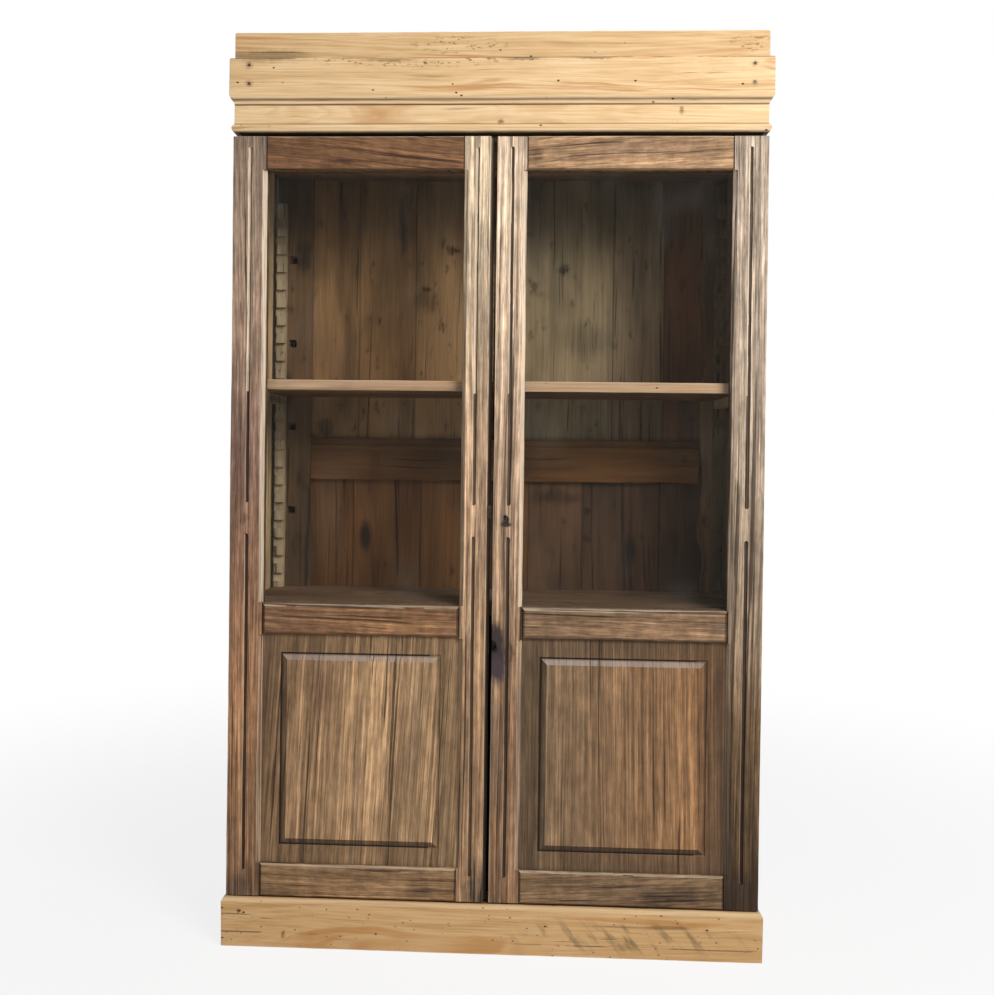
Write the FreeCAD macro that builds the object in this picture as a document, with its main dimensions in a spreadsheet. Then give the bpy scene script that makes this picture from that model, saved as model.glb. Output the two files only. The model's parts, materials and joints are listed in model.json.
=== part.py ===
"""Two-door display cabinet in old wood: plinth, case, crown, glazed doors on pins, shelf, lock and bolts.

Millimetres, Z up, front towards -Y. The origin is on the floor, under the middle of the cabinet's box.
"""
import FreeCAD, Part
import math
import os
import Sketcher
from types import SimpleNamespace

# Driving sizes, one value for each thing that can be set by itself
SIZES = {
    # Case
    "case_width": 1320,
    "overall_depth": 390,
    "side_thickness": 30,
    "board_thickness": 24,
    "housing_depth": 8,
    "floor_rise": 18,
    "deck_rise": 2,
    "deck_thickness": 28,
    "deck_setback": 3,
    "base_rail_thickness": 22,
    # Plinth
    "plinth_height": 122,
    "plinth_thickness": 16,
    "plinth_rounding": 12,
    # Crown: frieze with a bead, cornice board with an ogee, cap
    "crown_overhang": 16,
    "crown_setback": 11,
    "bead_height": 20,
    "bead_projection": 5.5,
    "frieze_height": 68,
    "frieze_front_depth": 44,
    "frieze_side_depth": 30,
    "ogee_height": 24,
    "fascia_height": 90,
    "cornice_thickness": 25,
    "cap_height": 68,
    "cap_thickness": 22,
    "corner_block_length": 60,
    "corner_block_depth": 30,
    "nail_radius": 1.8,
    "nail_head_radius": 4,
    "nail_head_thickness": 1.5,
    "nail_length": 45,
    "nail_inset": 50,
    "nail_low": 50,
    "nail_spacing": 46,
    # Back
    "plank_thickness": 20,
    "plank_rabbet": 10,
    "plank_seam": 0.6,
    "upper_plank_1": 242,
    "upper_plank_2": 161,
    "upper_plank_3": 277,
    "upper_plank_4": 283,
    "upper_plank_5": 143,
    "upper_plank_6": 174,
    "lower_plank_1": 230,
    "lower_plank_2": 194,
    "lower_plank_3": 306,
    "lower_plank_4": 153,
    "lower_plank_5": 217,
    "lower_plank_6": 180,
    "post_thickness": 22,
    "left_post_width": 99,
    "right_post_width": 64,
    "back_rail_low": 1175,
    "back_rail_height": 98,
    "back_lip_height": 20,
    "back_lip_thickness": 14,
    "peg_hole_size": 22,
    "peg_hole_inset": 45,
    "peg_hole_low": 1085,
    "peg_hole_spacing": 237,
    "peg_hole_count": 4,
    # Racks, cleats and shelf
    "rack_width": 28,
    "rack_depth": 25,
    "rack_setback": 3,
    "rack_headroom": 75,
    "tooth_height": 24,
    "tooth_depth": 12,
    "tooth_pitch": 50,
    "tooth_start": 16,
    "shelf_tooth_count": 10,
    "cleat_play": 0.5,
    "shelf_thickness": 26,
    "shelf_setback": 8,
    "shelf_play": 3,
    # Doors
    "door_overhang": 6,
    "door_setback": 10,
    "door_thickness": 30,
    "door_gap": 2,
    "door_height": 1915,
    "bottom_gap": 3,
    "top_gap": 10,
    "stile_width": 85,
    "meeting_width": 75,
    "seam_offset": 2,
    "seam_gap": 7,
    "lip_width": 9,
    "lip_thickness": 14,
    "bottom_rail_height": 83,
    "panel_opening": 580,
    "middle_rail_height": 78,
    "top_rail_height": 82,
    "tenon_length": 40,
    "tenon_thickness": 10,
    "tenon_inset": 12,
    "mortise_play": 1,
    "edge_bevel": 10,
    "bevel_stop": 2,
    "swing_bevel": 8,
    "flute_radius": 5,
    "flute_top": 26,
    "flute_bottom": 65,
    "flute_break_rise": 956,
    "flute_break_length": 78,
    # Panels and glass
    "panel_thickness": 9,
    "panel_recess": 11,
    "panel_play": 1,
    "groove_depth": 10,
    "panel_border": 50,
    "field_bevel": 14,
    "field_raise": 7,
    "quirk_width": 4,
    "quirk_depth": 2.5,
    "glass_thickness": 4,
    "glass_setback": 14,
    "glass_play": 1,
    "rebate_depth": 10,
    "glazing_recess": 1,
    # Pivots
    "pivot_inset": 12,
    "pin_radius": 4,
    "pin_depth": 40,
    "pin_reach": 12,
    "pin_fit": 0.1,
    "running_fit": 0.06,
    "collar_radius": 6,
    "socket_length": 34,
    "socket_end": 5,
    "socket_width": 16,
    "socket_thickness": 3,
    "socket_relief": 3,
    # Lock and keeper
    "keyhole_rise": 968,
    "keyhole_inset": 30,
    "keyhole_radius": 3.5,
    "keyhole_slot_width": 3,
    "keyhole_slot_length": 10,
    "liner_wall": 2,
    "liner_depth": 5,
    "lock_case_width": 40,
    "lock_case_height": 60,
    "lock_case_thickness": 12,
    "lock_bolt_rise": 11,
    "lock_bolt_height": 14,
    "lock_bolt_thickness": 7,
    "lock_bolt_length": 26,
    "lock_bolt_throw": 14,
    "bolt_fit": 0.4,
    "keeper_height": 32,
    "keeper_thickness": 2,
    "keeper_pocket": 12,
    "finger_notch_radius": 14,
    "finger_notch_depth": 12,
    "finger_notch_reach": 16,
    "finger_notch_rise": 646,
    # Bolts of the left door
    "rod_size": 8,
    "rod_length": 120,
    "rod_throw": 18,
    "rod_gap": 4,
    "rod_standoff": 6,
    "rod_inset": 35,
    "guide_wall": 3,
    "guide_height": 16,
    "guide_plate": 2,
    "knob_radius": 4,
    "knob_length": 12,
}
HALF_RIGHT = 45  # turn of a mitre and of a bevel, in degrees

doc = FreeCAD.newDocument("display_cabinet")
sheet = doc.addObject("Spreadsheet::Sheet", "sizes")
for row, (alias, number) in enumerate(SIZES.items(), 1):
    sheet.set(f"A{row}", alias)
    sheet.set(f"B{row}", str(number))
    sheet.setAlias(f"B{row}", alias)
doc.recompute()


class Size:
    """A length that carries both its value and the formula that binds it to the sheet."""

    def __init__(self, value, text):
        self.value = value
        self.text = text

    def __add__(self, other):
        other = as_size(other)
        return Size(self.value + other.value, f"({self.text} + {other.text})")

    def __sub__(self, other):
        other = as_size(other)
        return Size(self.value - other.value, f"({self.text} - {other.text})")

    def __mul__(self, other):
        other = as_size(other)
        return Size(self.value * other.value, f"({self.text} * {other.text})")

    def __truediv__(self, other):
        other = as_size(other)
        return Size(self.value / other.value, f"({self.text} / {other.text})")

    def __neg__(self):
        return Size(-self.value, f"(0 - {self.text})")


def as_size(number):
    if isinstance(number, Size):
        return number
    return Size(number, f"({number})")


dim = SimpleNamespace(**{alias: Size(float(sheet.get(alias)), f"sizes.{alias}") for alias in SIZES})
sub_parts = []


def sub_part(item, label):
    """Mark a finished piece, or a group of like pieces, as one named node."""
    item.Label = label
    sub_parts.append(item)
    return item


def bind(item, field, amount):
    item.setExpression(field, as_size(amount).text)


def place(item, x, y, z):
    for axis, amount in (("x", x), ("y", y), ("z", z)):
        bind(item, f"Placement.Base.{axis}", amount)


def span(one, other):
    """The two ends of a stretch, lower first."""
    one, other = as_size(one), as_size(other)
    return (one, other) if one.value < other.value else (other, one)


def about(middle, breadth):
    """The two ends of a stretch around its middle."""
    return (as_size(middle) - breadth / 2, as_size(middle) + breadth / 2)


def block(name, x, y, z):
    """A squared piece between two ends on each axis."""
    item = doc.addObject("Part::Box", name)
    for field, ends in (("Length", x), ("Width", y), ("Height", z)):
        bind(item, field, as_size(ends[1]) - ends[0])
    place(item, x[0], y[0], z[0])
    return item


def round_bar(name, x, y, z, radius):
    """A round bar along the axis whose two ends are given; the other two coordinates are its centre."""
    item = doc.addObject("Part::Cylinder", name)
    bind(item, "Radius", radius)
    if isinstance(y, tuple):
        item.Placement.Rotation = FreeCAD.Rotation(FreeCAD.Vector(1, 0, 0), -90)
        bind(item, "Height", as_size(y[1]) - y[0])
        place(item, x, y[0], z)
    else:
        bind(item, "Height", as_size(z[1]) - z[0])
        place(item, x, y, z[0])
    return item


def joined(name, *pieces):
    item = doc.addObject("Part::MultiFuse", name)
    item.Shapes = list(pieces)
    return item


def grouped(name, *pieces):
    item = doc.addObject("Part::Compound", name)
    item.Links = list(pieces)
    return item


def cut(name, base, *tools):
    item = doc.addObject("Part::Cut", name)
    item.Base = base
    item.Tool = tools[0] if len(tools) == 1 else joined(f"{name}_cutters", *tools)
    return item


def upright_bevel(name, x, y, z, leg):
    """Cutter for a bevel along an upright edge at x, y: a square bar standing on its corner."""
    item = doc.addObject("Part::Box", name)
    item.Placement.Rotation = FreeCAD.Rotation(FreeCAD.Vector(0, 0, 1), HALF_RIGHT)
    for field in ("Length", "Width"):
        bind(item, field, leg * math.sqrt(2))
    bind(item, "Height", as_size(z[1]) - z[0])
    place(item, x, as_size(y) - leg, z[0])
    return item


def origin_feature(body, role):
    return next(item for item in body.Origin.OriginFeatures if item.Role == role)


def arc_between(start, end, radius, turns_left):
    """The short arc from start to end; a left-hand turn has its centre on the left of the way."""
    way = end - start
    left = FreeCAD.Vector(-way.y, way.x, 0).normalize()
    rise = math.sqrt(max(radius ** 2 - (way.Length / 2) ** 2, 0))
    centre = (start + end) * 0.5 + left * (rise if turns_left else -rise)
    first, last = (start, end) if turns_left else (end, start)
    angles = [math.atan2(p.y - centre.y, p.x - centre.x) for p in (first, last)]
    return Part.ArcOfCircle(Part.Circle(centre, FreeCAD.Vector(0, 0, 1), radius), *angles)


def outline(body, name, plane, corners):
    """A closed sketch. A corner is (across, up), or (across, up, radius, turns_left) before an arc."""
    sketch = body.newObject("Sketcher::SketchObject", name)
    sketch.AttachmentSupport = [(origin_feature(body, plane), "")]
    sketch.MapMode = "FlatFace"
    points = [FreeCAD.Vector(as_size(c[0]).value, as_size(c[1]).value, 0) for c in corners]
    ends = []
    for index, corner in enumerate(corners):
        start, end = points[index], points[(index + 1) % len(points)]
        if len(corner) == 2:
            sketch.addGeometry(Part.LineSegment(start, end), False)
            ends.append((1, 2))
        else:
            sketch.addGeometry(arc_between(start, end, corner[2].value, corner[3]), False)
            ends.append((1, 2) if corner[3] else (2, 1))
    for index, corner in enumerate(corners):
        following = (index + 1) % len(corners)
        sketch.addConstraint(
            Sketcher.Constraint("Coincident", index, ends[index][1], following, ends[following][0]))
        for kind, amount in (("DistanceX", corner[0]), ("DistanceY", corner[1])):
            rule = Sketcher.Constraint(kind, index, ends[index][0], as_size(amount).value)
            bind(sketch, f"Constraints[{sketch.addConstraint(rule)}]", amount)
        if len(corner) > 2:
            rule = Sketcher.Constraint("Radius", index, corner[2].value)
            bind(sketch, f"Constraints[{sketch.addConstraint(rule)}]", corner[2])
    return sketch


def padded_body(name, plane, corners, length):
    """A body padded from an outline by the given length."""
    body = doc.addObject("PartDesign::Body", name)
    pad = body.newObject("PartDesign::Pad", f"{name}_pad")
    pad.Profile = outline(body, f"{name}_outline", plane, corners)
    bind(pad, "Length", length)
    return body


def mitre_cutter(name, corner_x, corner_y, turn, reach, z):
    """A block with one face on the mitre plane through a corner; it lies on the left of its own turn."""
    item = doc.addObject("Part::Box", name)
    item.Placement.Rotation = FreeCAD.Rotation(FreeCAD.Vector(0, 0, 1), turn)
    along = math.radians(turn)
    bind(item, "Length", reach * 2)
    bind(item, "Width", reach * 2)
    bind(item, "Height", as_size(z[1]) - z[0])
    place(item, corner_x - reach * math.cos(along), corner_y - reach * math.sin(along), z[0])
    return item


# Places that many pieces share
case_half = dim.case_width / 2
inner_half = case_half - dim.side_thickness
base_half = case_half + dim.crown_overhang
door_half = case_half + dim.door_overhang
base_front = -(dim.overall_depth / 2)
case_back = dim.overall_depth / 2
door_front = base_front + dim.door_setback
door_back = door_front + dim.door_thickness
door_middle = door_front + dim.door_thickness / 2
case_front = door_back + dim.door_gap
plank_front = case_back - dim.plank_thickness
post_front = plank_front - dim.post_thickness
door_bottom = dim.plinth_height + dim.bottom_gap
door_top = door_bottom + dim.door_height
case_top = door_top + dim.top_gap
frieze_top = case_top + dim.frieze_height
cornice_top = frieze_top + dim.ogee_height + dim.fascia_height
cap_top = cornice_top + dim.cap_height
frieze_half = base_half - dim.crown_setback
frieze_front = base_front + dim.crown_setback
frieze_back = frieze_front + dim.frieze_front_depth
floor_top = dim.plinth_height + dim.floor_rise
floor_bottom = floor_top - dim.board_thickness
ceiling = case_top - dim.board_thickness
bottom_rail_top = door_bottom + dim.bottom_rail_height
middle_rail_bottom = bottom_rail_top + dim.panel_opening
middle_rail_top = middle_rail_bottom + dim.middle_rail_height
top_rail_bottom = door_top - dim.top_rail_height
deck_top = middle_rail_top + dim.deck_rise
deck_bottom = deck_top - dim.deck_thickness
pivot_x = door_half - dim.pivot_inset


def run_of_moulding(label, profile, outer_half, front, side, z):
    """One of three mitred lengths of one section, whose corners count inwards from its outer face."""
    lengths = {"front": outer_half * 2, "left": case_back - front, "right": case_back - front}
    turns = {"front": 90, "left": 0, "right": 180}
    starts = {"front": (-outer_half, front), "left": (-outer_half, case_back), "right": (outer_half, front)}
    cuts = {"front": ((-1, 45), (1, -45)), "left": ((-1, 225),), "right": ((1, 135),)}
    body = padded_body(f"{label}_run", "XZ_Plane", profile, lengths[side])
    body.Placement.Rotation = FreeCAD.Rotation(FreeCAD.Vector(0, 0, 1), turns[side])
    place(body, *starts[side], 0)
    cutters = []
    for end, turn in cuts[side]:
        name = f"{label}_mitre_{len(cutters)}"
        cutters.append(mitre_cutter(name, outer_half * end, front, turn, case_back - front, z))
    return cut(label, body, *cutters)


# Case: two sides with housings for the boards and a rabbet for the back planks
housings = {
    "floor": (floor_bottom, floor_top),
    "deck": (deck_bottom, deck_top),
    "top": (ceiling, case_top),
}
board_fronts = {"floor": case_front, "deck": case_front + dim.deck_setback, "top": case_front}
for side, sign in (("left", -1), ("right", 1)):
    inner = inner_half * sign
    plain_side = block(f"{side}_side_plain", span(inner, case_half * sign), (case_front, case_back),
                       (0, case_top))
    grooves = [
        block(f"{side}_{board}_housing", span(inner, inner + dim.housing_depth * sign),
              (board_fronts[board], plank_front), z)
        for board, z in housings.items()
    ]
    rabbet = block(f"{side}_rabbet", span(inner, inner + dim.plank_rabbet * sign),
                   (plank_front, case_back), (floor_bottom, case_top))
    sub_part(cut(f"{side}_side", plain_side, *grooves, rabbet), f"{side}_side")

# Boards between the sides; the floor and the top take the bolts of the left door
right_free = -dim.seam_offset
left_free = right_free - dim.seam_gap
lip_front_edge = left_free - dim.lip_width
rod_x = left_free - dim.rod_inset
rod_y = (door_back + dim.rod_standoff, door_back + dim.rod_standoff + dim.rod_size)
board_x = (-(inner_half + dim.housing_depth), inner_half + dim.housing_depth)
rod_hole_x = about(rod_x, dim.rod_size + dim.bolt_fit * 2)
rod_hole_y = (rod_y[0] - dim.bolt_fit, rod_y[1] + dim.bolt_fit)
plain_floor = block("floor_plain", board_x, (case_front, plank_front), housings["floor"])
floor_hole = block("floor_bolt_hole", rod_hole_x, rod_hole_y, (floor_top - dim.rod_throw, floor_top))
sub_part(cut("floor", plain_floor, floor_hole), "bottom_board")
plain_top = block("top_plain", board_x, (case_front, plank_front), housings["top"])
top_hole = block("top_bolt_hole", rod_hole_x, rod_hole_y, (ceiling, ceiling + dim.rod_throw))
sub_part(cut("top", plain_top, top_hole), "top_board")
sub_part(block("deck", board_x, (board_fronts["deck"], plank_front), housings["deck"]), "deck_board")

# Base: sill under the doors, rail under the back of the floor, and the plinth boards around them
plinth_back = base_front + dim.plinth_thickness


def socket_plate(name, sign, z):
    """An iron plate that a door's pin turns in, with its bore."""
    x = span((pivot_x + dim.socket_end) * sign, (pivot_x + dim.socket_end - dim.socket_length) * sign)
    plate = block(f"{name}_plain", x, about(door_middle, dim.socket_width), z)
    bore = round_bar(f"{name}_bore", pivot_x * sign, door_middle, z, dim.pin_radius + dim.running_fit)
    return cut(name, plate, bore)


def socket_room(name, sign, z, bore):
    """Cutters for a socket plate's bed and for the pin's clearance hole behind it."""
    x = span((pivot_x + dim.socket_end) * sign, (pivot_x + dim.socket_end - dim.socket_length) * sign)
    bed = block(f"{name}_bed", x, about(door_middle, dim.socket_width), z)
    hole = round_bar(f"{name}_hole", pivot_x * sign, door_middle, bore, dim.pin_radius + dim.bolt_fit)
    return [bed, hole]


low_plate = (dim.plinth_height - dim.socket_thickness, dim.plinth_height)
low_bore = (dim.plinth_height - dim.pin_reach - dim.socket_relief, dim.plinth_height)
high_plate = (case_top, case_top + dim.socket_thickness)
high_bore = (case_top, case_top + dim.pin_reach + dim.socket_relief)
sill_room = []
frieze_room = []
plates = []
for side, sign in (("left", -1), ("right", 1)):
    sill_room += socket_room(f"{side}_low_socket", sign, low_plate, low_bore)
    frieze_room += socket_room(f"{side}_high_socket", sign, high_plate, high_bore)
    plates.append(socket_plate(f"{side}_low_plate", sign, low_plate))
    plates.append(socket_plate(f"{side}_high_plate", sign, high_plate))
sub_part(grouped("plates", *plates), "pivot_sockets")
plain_sill = block("sill_plain", (-case_half, case_half), (plinth_back, case_front), (0, dim.plinth_height))
sub_part(cut("sill", plain_sill, *sill_room), "front_sill")
sub_part(block("base_rail", (-inner_half, inner_half), (plank_front - dim.base_rail_thickness, plank_front),
               (0, floor_bottom)), "rear_base_rail")
plinth_profile = [
    (0, 0),
    (dim.plinth_thickness, 0),
    (dim.plinth_thickness, dim.plinth_height),
    (dim.plinth_rounding, dim.plinth_height, dim.plinth_rounding, True),
    (0, dim.plinth_height - dim.plinth_rounding),
]
for side in ("front", "left", "right"):
    board = run_of_moulding(f"plinth_{side}_board", plinth_profile, base_half, base_front, side,
                            (0, dim.plinth_height))
    sub_part(board, f"plinth_{side}")

# Crown: a frieze on the case, a bead round its foot, the ogee cornice and the cap
frieze_plain = block("frieze_plain", (-frieze_half, frieze_half), (frieze_front, frieze_back),
                     (case_top, frieze_top))
sub_part(cut("frieze", frieze_plain, *frieze_room), "frieze_front")
for side, sign in (("left", -1), ("right", 1)):
    x = span(frieze_half * sign, (frieze_half - dim.frieze_side_depth) * sign)
    frieze_rail = block(f"{side}_frieze_rail", x, (frieze_back, case_back), (case_top, frieze_top))
    sub_part(frieze_rail, f"frieze_{side}")


def arc_radius(half_chord, height):
    """The radius of an arc from half of its chord and its height over the chord."""
    return (half_chord * half_chord + height * height) / (height * 2)


bead_radius = arc_radius(dim.bead_height / 2, dim.bead_projection)
bead_profile = [
    (dim.bead_projection, case_top, bead_radius, False),
    (dim.bead_projection, case_top + dim.bead_height),
]
half_ogee = dim.ogee_height / 2
half_step = dim.crown_setback / 2
ogee_radius = arc_radius(half_ogee, half_step)
cornice_profile = [
    (dim.cornice_thickness, frieze_top),
    (dim.cornice_thickness, cornice_top),
    (0, cornice_top),
    (0, frieze_top + dim.ogee_height, ogee_radius, True),
    (half_step, frieze_top + half_ogee, ogee_radius, False),
    (dim.crown_setback, frieze_top),
]
cap_profile = [
    (0, cornice_top),
    (dim.cap_thickness, cornice_top),
    (dim.cap_thickness, cap_top),
    (0, cap_top),
]
nail_ends = (base_front, base_front + dim.nail_length)
nail_heads = (base_front, base_front + dim.nail_head_thickness)
nails = []
nail_holes = {"left": [], "right": []}
for side, sign in (("left", -1), ("right", 1)):
    for step in (0, 1):
        x = (base_half - dim.nail_inset) * sign
        z = frieze_top + dim.nail_low + dim.nail_spacing * step
        name = f"{side}_nail_{step}"
        shank = round_bar(f"{name}_shank", x, nail_ends, z, dim.nail_radius)
        head = round_bar(f"{name}_head", x, nail_heads, z, dim.nail_head_radius)
        nails.append(joined(name, shank, head))
        hole = round_bar(f"{name}_hole", x, nail_ends, z, dim.nail_radius + dim.pin_fit)
        sink = round_bar(f"{name}_sink", x, nail_heads, z, dim.nail_head_radius + dim.pin_fit)
        nail_holes[side].append(joined(f"{name}_room", hole, sink))
sub_part(grouped("nails", *nails), "cornice_nails")
blocks = []
for side, sign in (("left", -1), ("right", 1)):
    block_edge = base_half - dim.cornice_thickness
    x = span(block_edge * sign, (block_edge - dim.corner_block_length) * sign)
    y = (base_front + dim.cornice_thickness, base_front + dim.cornice_thickness + dim.corner_block_depth)
    plain = block(f"{side}_corner_block_plain", x, y, (frieze_top, cornice_top))
    blocks.append(cut(f"{side}_corner_block", plain, *nail_holes[side]))
sub_part(grouped("blocks", *blocks), "crown_corner_blocks")
bead_half = frieze_half + dim.bead_projection
bead_front = frieze_front - dim.bead_projection
for side in ("front", "left", "right"):
    bead = run_of_moulding(f"bead_{side}_strip", bead_profile, bead_half, bead_front, side,
                           (case_top, case_top + dim.bead_height))
    sub_part(bead, f"bead_{side}")
    cornice = run_of_moulding(f"cornice_{side}_board", cornice_profile, base_half, base_front, side,
                              (frieze_top, cornice_top))
    if side == "front":
        cornice = cut("cornice_front_nailed", cornice, *nail_holes["left"], *nail_holes["right"])
    sub_part(cornice, f"cornice_{side}")
    cap = run_of_moulding(f"cap_{side}_board", cap_profile, frieze_half, frieze_front, side,
                          (cornice_top, cap_top))
    sub_part(cap, f"cap_{side}")

# Back: planks in the rabbet, meeting behind the middle rail, with posts and the rail in front of them
plank_edge = inner_half + dim.plank_rabbet
plank_joint = dim.back_rail_low + dim.back_rail_height / 2
plank_rows = {"upper": (plank_joint + dim.plank_seam, case_top), "lower": (floor_bottom, plank_joint)}
for row, z in plank_rows.items():
    widths = [getattr(dim, f"{row}_plank_{number}") for number in range(1, 7)]
    whole = sum(widths[1:], widths[0])
    start = as_size(0)
    planks = []
    for number, width in enumerate(widths, 1):
        low = plank_edge * 2 * start / whole - plank_edge
        high = plank_edge * 2 * (start + width) / whole - plank_edge
        planks.append(block(f"{row}_plank_{number}", (low + dim.plank_seam / 2, high - dim.plank_seam / 2),
                            (plank_front, case_back), z))
        start = start + width
    sub_part(grouped(f"{row}_planks", *planks), f"{row}_back_planks")
left_post_edge = -inner_half + dim.left_post_width
right_post_edge = inner_half - dim.right_post_width
plain_post = block("left_post_plain", (-inner_half, left_post_edge), (post_front, plank_front),
                   (deck_top, ceiling))
peg_x = about(-inner_half + dim.peg_hole_inset, dim.peg_hole_size)
peg_holes = [
    block(f"peg_hole_{number}", peg_x, (post_front, plank_front),
          about(dim.peg_hole_low + dim.peg_hole_spacing * number, dim.peg_hole_size))
    for number in range(int(dim.peg_hole_count.value))
]
sub_part(cut("left_post", plain_post, *peg_holes), "back_left_post")
sub_part(block("right_post", (right_post_edge, inner_half), (post_front, plank_front),
               (deck_top, ceiling)), "back_right_post")
back_rail_top = dim.back_rail_low + dim.back_rail_height
back_rail_x = (left_post_edge, right_post_edge)
back_rail_board = block("back_rail_board", back_rail_x, (post_front, plank_front),
                        (dim.back_rail_low, back_rail_top))
back_rail_lip = block("back_rail_lip", back_rail_x, (plank_front - dim.back_lip_thickness, plank_front),
                      (back_rail_top, back_rail_top + dim.back_lip_height))
sub_part(joined("back_rail", back_rail_board, back_rail_lip), "back_middle_rail")

# Notched racks in the four corners, cleats in one pair of notches on each side, and the shelf on the cleats
rack_height = ceiling - dim.rack_headroom - deck_top
front_rack_front = case_front + dim.rack_setback
rear_rack_front = post_front - dim.rack_depth
teeth_room = rack_height - dim.tooth_start - dim.tooth_height
teeth_text = f"floor({teeth_room.text} / sizes.tooth_pitch) + 1"


def rack(name, sign, start_y, turned):
    """A strip with a ladder of notches in the face that looks at the other rack of its pair."""
    corners = [(0, 0), (dim.rack_width, 0), (dim.rack_width, dim.rack_depth), (0, dim.rack_depth)]
    body = padded_body(name, "XY_Plane", corners, rack_height)
    doc.recompute()
    notch_top = dim.tooth_start + dim.tooth_height
    notch = [
        (0, dim.tooth_start),
        (dim.tooth_depth, dim.tooth_start),
        (dim.tooth_depth, notch_top),
        (0, notch_top),
    ]
    pocket = body.newObject("PartDesign::Pocket", f"{name}_notch")
    pocket.Profile = outline(body, f"{name}_notch_outline", "YZ_Plane", notch)
    pocket.SideType = "Symmetric"
    bind(pocket, "Length", dim.rack_width * 3)
    ladder = body.newObject("PartDesign::LinearPattern", f"{name}_ladder")
    ladder.Originals = [pocket]
    ladder.Direction = (origin_feature(body, "Z_Axis"), [""])
    ladder.Mode = "Spacing"
    bind(ladder, "Offset", dim.tooth_pitch)
    ladder.setExpression("Occurrences", teeth_text)
    body.Tip = ladder
    turn = 180 if turned else 0
    body.Placement.Rotation = FreeCAD.Rotation(FreeCAD.Vector(0, 0, 1), turn)
    low_x = span(inner_half * sign, (inner_half - dim.rack_width) * sign)
    if turned:
        place(body, low_x[1], start_y + dim.rack_depth, deck_top)
    else:
        place(body, low_x[0], start_y, deck_top)
    return body


cleat_low = deck_top + dim.tooth_start + dim.tooth_pitch * dim.shelf_tooth_count
shelf_low = cleat_low + dim.tooth_height - dim.cleat_play
cleat_y = (front_rack_front + dim.rack_depth - dim.tooth_depth + dim.cleat_play,
           rear_rack_front + dim.tooth_depth - dim.cleat_play)
cleats = []
rack_rooms = []
shelf_y = (case_front + dim.shelf_setback, post_front - dim.shelf_play)
for side, sign in (("left", -1), ("right", 1)):
    front_rack = rack(f"{side}_front_rack", sign, front_rack_front, True)
    rear_rack = rack(f"{side}_rear_rack", sign, rear_rack_front, False)
    sub_part(grouped(f"{side}_rack_pair", front_rack, rear_rack), f"{side}_racks")
    x = span(inner_half * sign, (inner_half - dim.rack_width) * sign)
    cleats.append(block(f"{side}_cleat", x, cleat_y, (cleat_low, shelf_low)))
    room_x = span(inner_half * sign, (inner_half - dim.rack_width - dim.shelf_play) * sign)
    room_z = (shelf_low, shelf_low + dim.shelf_thickness)
    rack_rooms.append(block(f"{side}_front_rack_room", room_x,
                            (shelf_y[0], front_rack_front + dim.rack_depth + dim.shelf_play), room_z))
    rack_rooms.append(block(f"{side}_rear_rack_room", room_x,
                            (rear_rack_front - dim.shelf_play, shelf_y[1]), room_z))
sub_part(grouped("cleats", *cleats), "shelf_cleats")
plain_shelf = block("shelf_plain", (-(inner_half - dim.shelf_play), inner_half - dim.shelf_play), shelf_y,
                    (shelf_low, shelf_low + dim.shelf_thickness))
sub_part(cut("shelf_board", plain_shelf, *rack_rooms), "shelf")

# Depths and stretches inside a door
door_y = (door_front, door_back)
door_z = (door_bottom, door_top)
tenon_y = about(door_middle, dim.tenon_thickness)
panel_front = door_front + dim.panel_recess
panel_y = (panel_front, panel_front + dim.panel_thickness)
glass_front = door_front + dim.glass_setback
glass_y = (glass_front, glass_front + dim.glass_thickness)
rebate_y = (glass_front, door_back)
rails = {
    "top": (top_rail_bottom, door_top),
    "middle": (middle_rail_bottom, middle_rail_top),
    "bottom": (door_bottom, bottom_rail_top),
}
panel_groove_z = (bottom_rail_top - dim.groove_depth, middle_rail_bottom + dim.groove_depth)
glass_rebate_z = (middle_rail_top - dim.rebate_depth, top_rail_bottom + dim.rebate_depth)
flute_break = door_bottom + dim.flute_break_rise
flutes = {
    "upper": (flute_break + dim.flute_break_length / 2, door_top - dim.flute_top),
    "lower": (door_bottom + dim.flute_bottom, flute_break - dim.flute_break_length / 2),
}
bevels = {
    "glass": (middle_rail_top + dim.bevel_stop, top_rail_bottom - dim.bevel_stop),
    "panel": (bottom_rail_top + dim.bevel_stop, middle_rail_bottom - dim.bevel_stop),
}
lock_y = door_back - dim.lip_thickness / 2
keyhole_z = door_bottom + dim.keyhole_rise
keyhole_x = right_free + dim.keyhole_inset
lock_bolt_z = keyhole_z + dim.lock_bolt_rise
bolt_room_y = about(lock_y, dim.lock_bolt_thickness + dim.bolt_fit * 2)
bolt_room_z = about(lock_bolt_z, dim.lock_bolt_height + dim.bolt_fit * 2)
keeper_z = about(lock_bolt_z, dim.keeper_height)
keeper_x = (left_free - dim.keeper_thickness, left_free)
lock_x = (right_free, right_free + dim.lock_case_width)
lock_depth = about(lock_y, dim.lock_case_thickness)
lock_z = about(keyhole_z, dim.lock_case_height)
lip_front = door_back - dim.lip_thickness


def flute(name, x, z):
    """A round-bottomed groove with ball ends, half of it in the wood."""
    low, high = z[0] + dim.flute_radius, z[1] - dim.flute_radius
    pieces = [round_bar(f"{name}_run", x, door_front, (low, high), dim.flute_radius)]
    for end, height in (("low", low), ("high", high)):
        ball = doc.addObject("Part::Sphere", f"{name}_{end}")
        bind(ball, "Radius", dim.flute_radius)
        place(ball, x, door_front, height)
        pieces.append(ball)
    return joined(name, *pieces)


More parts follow.
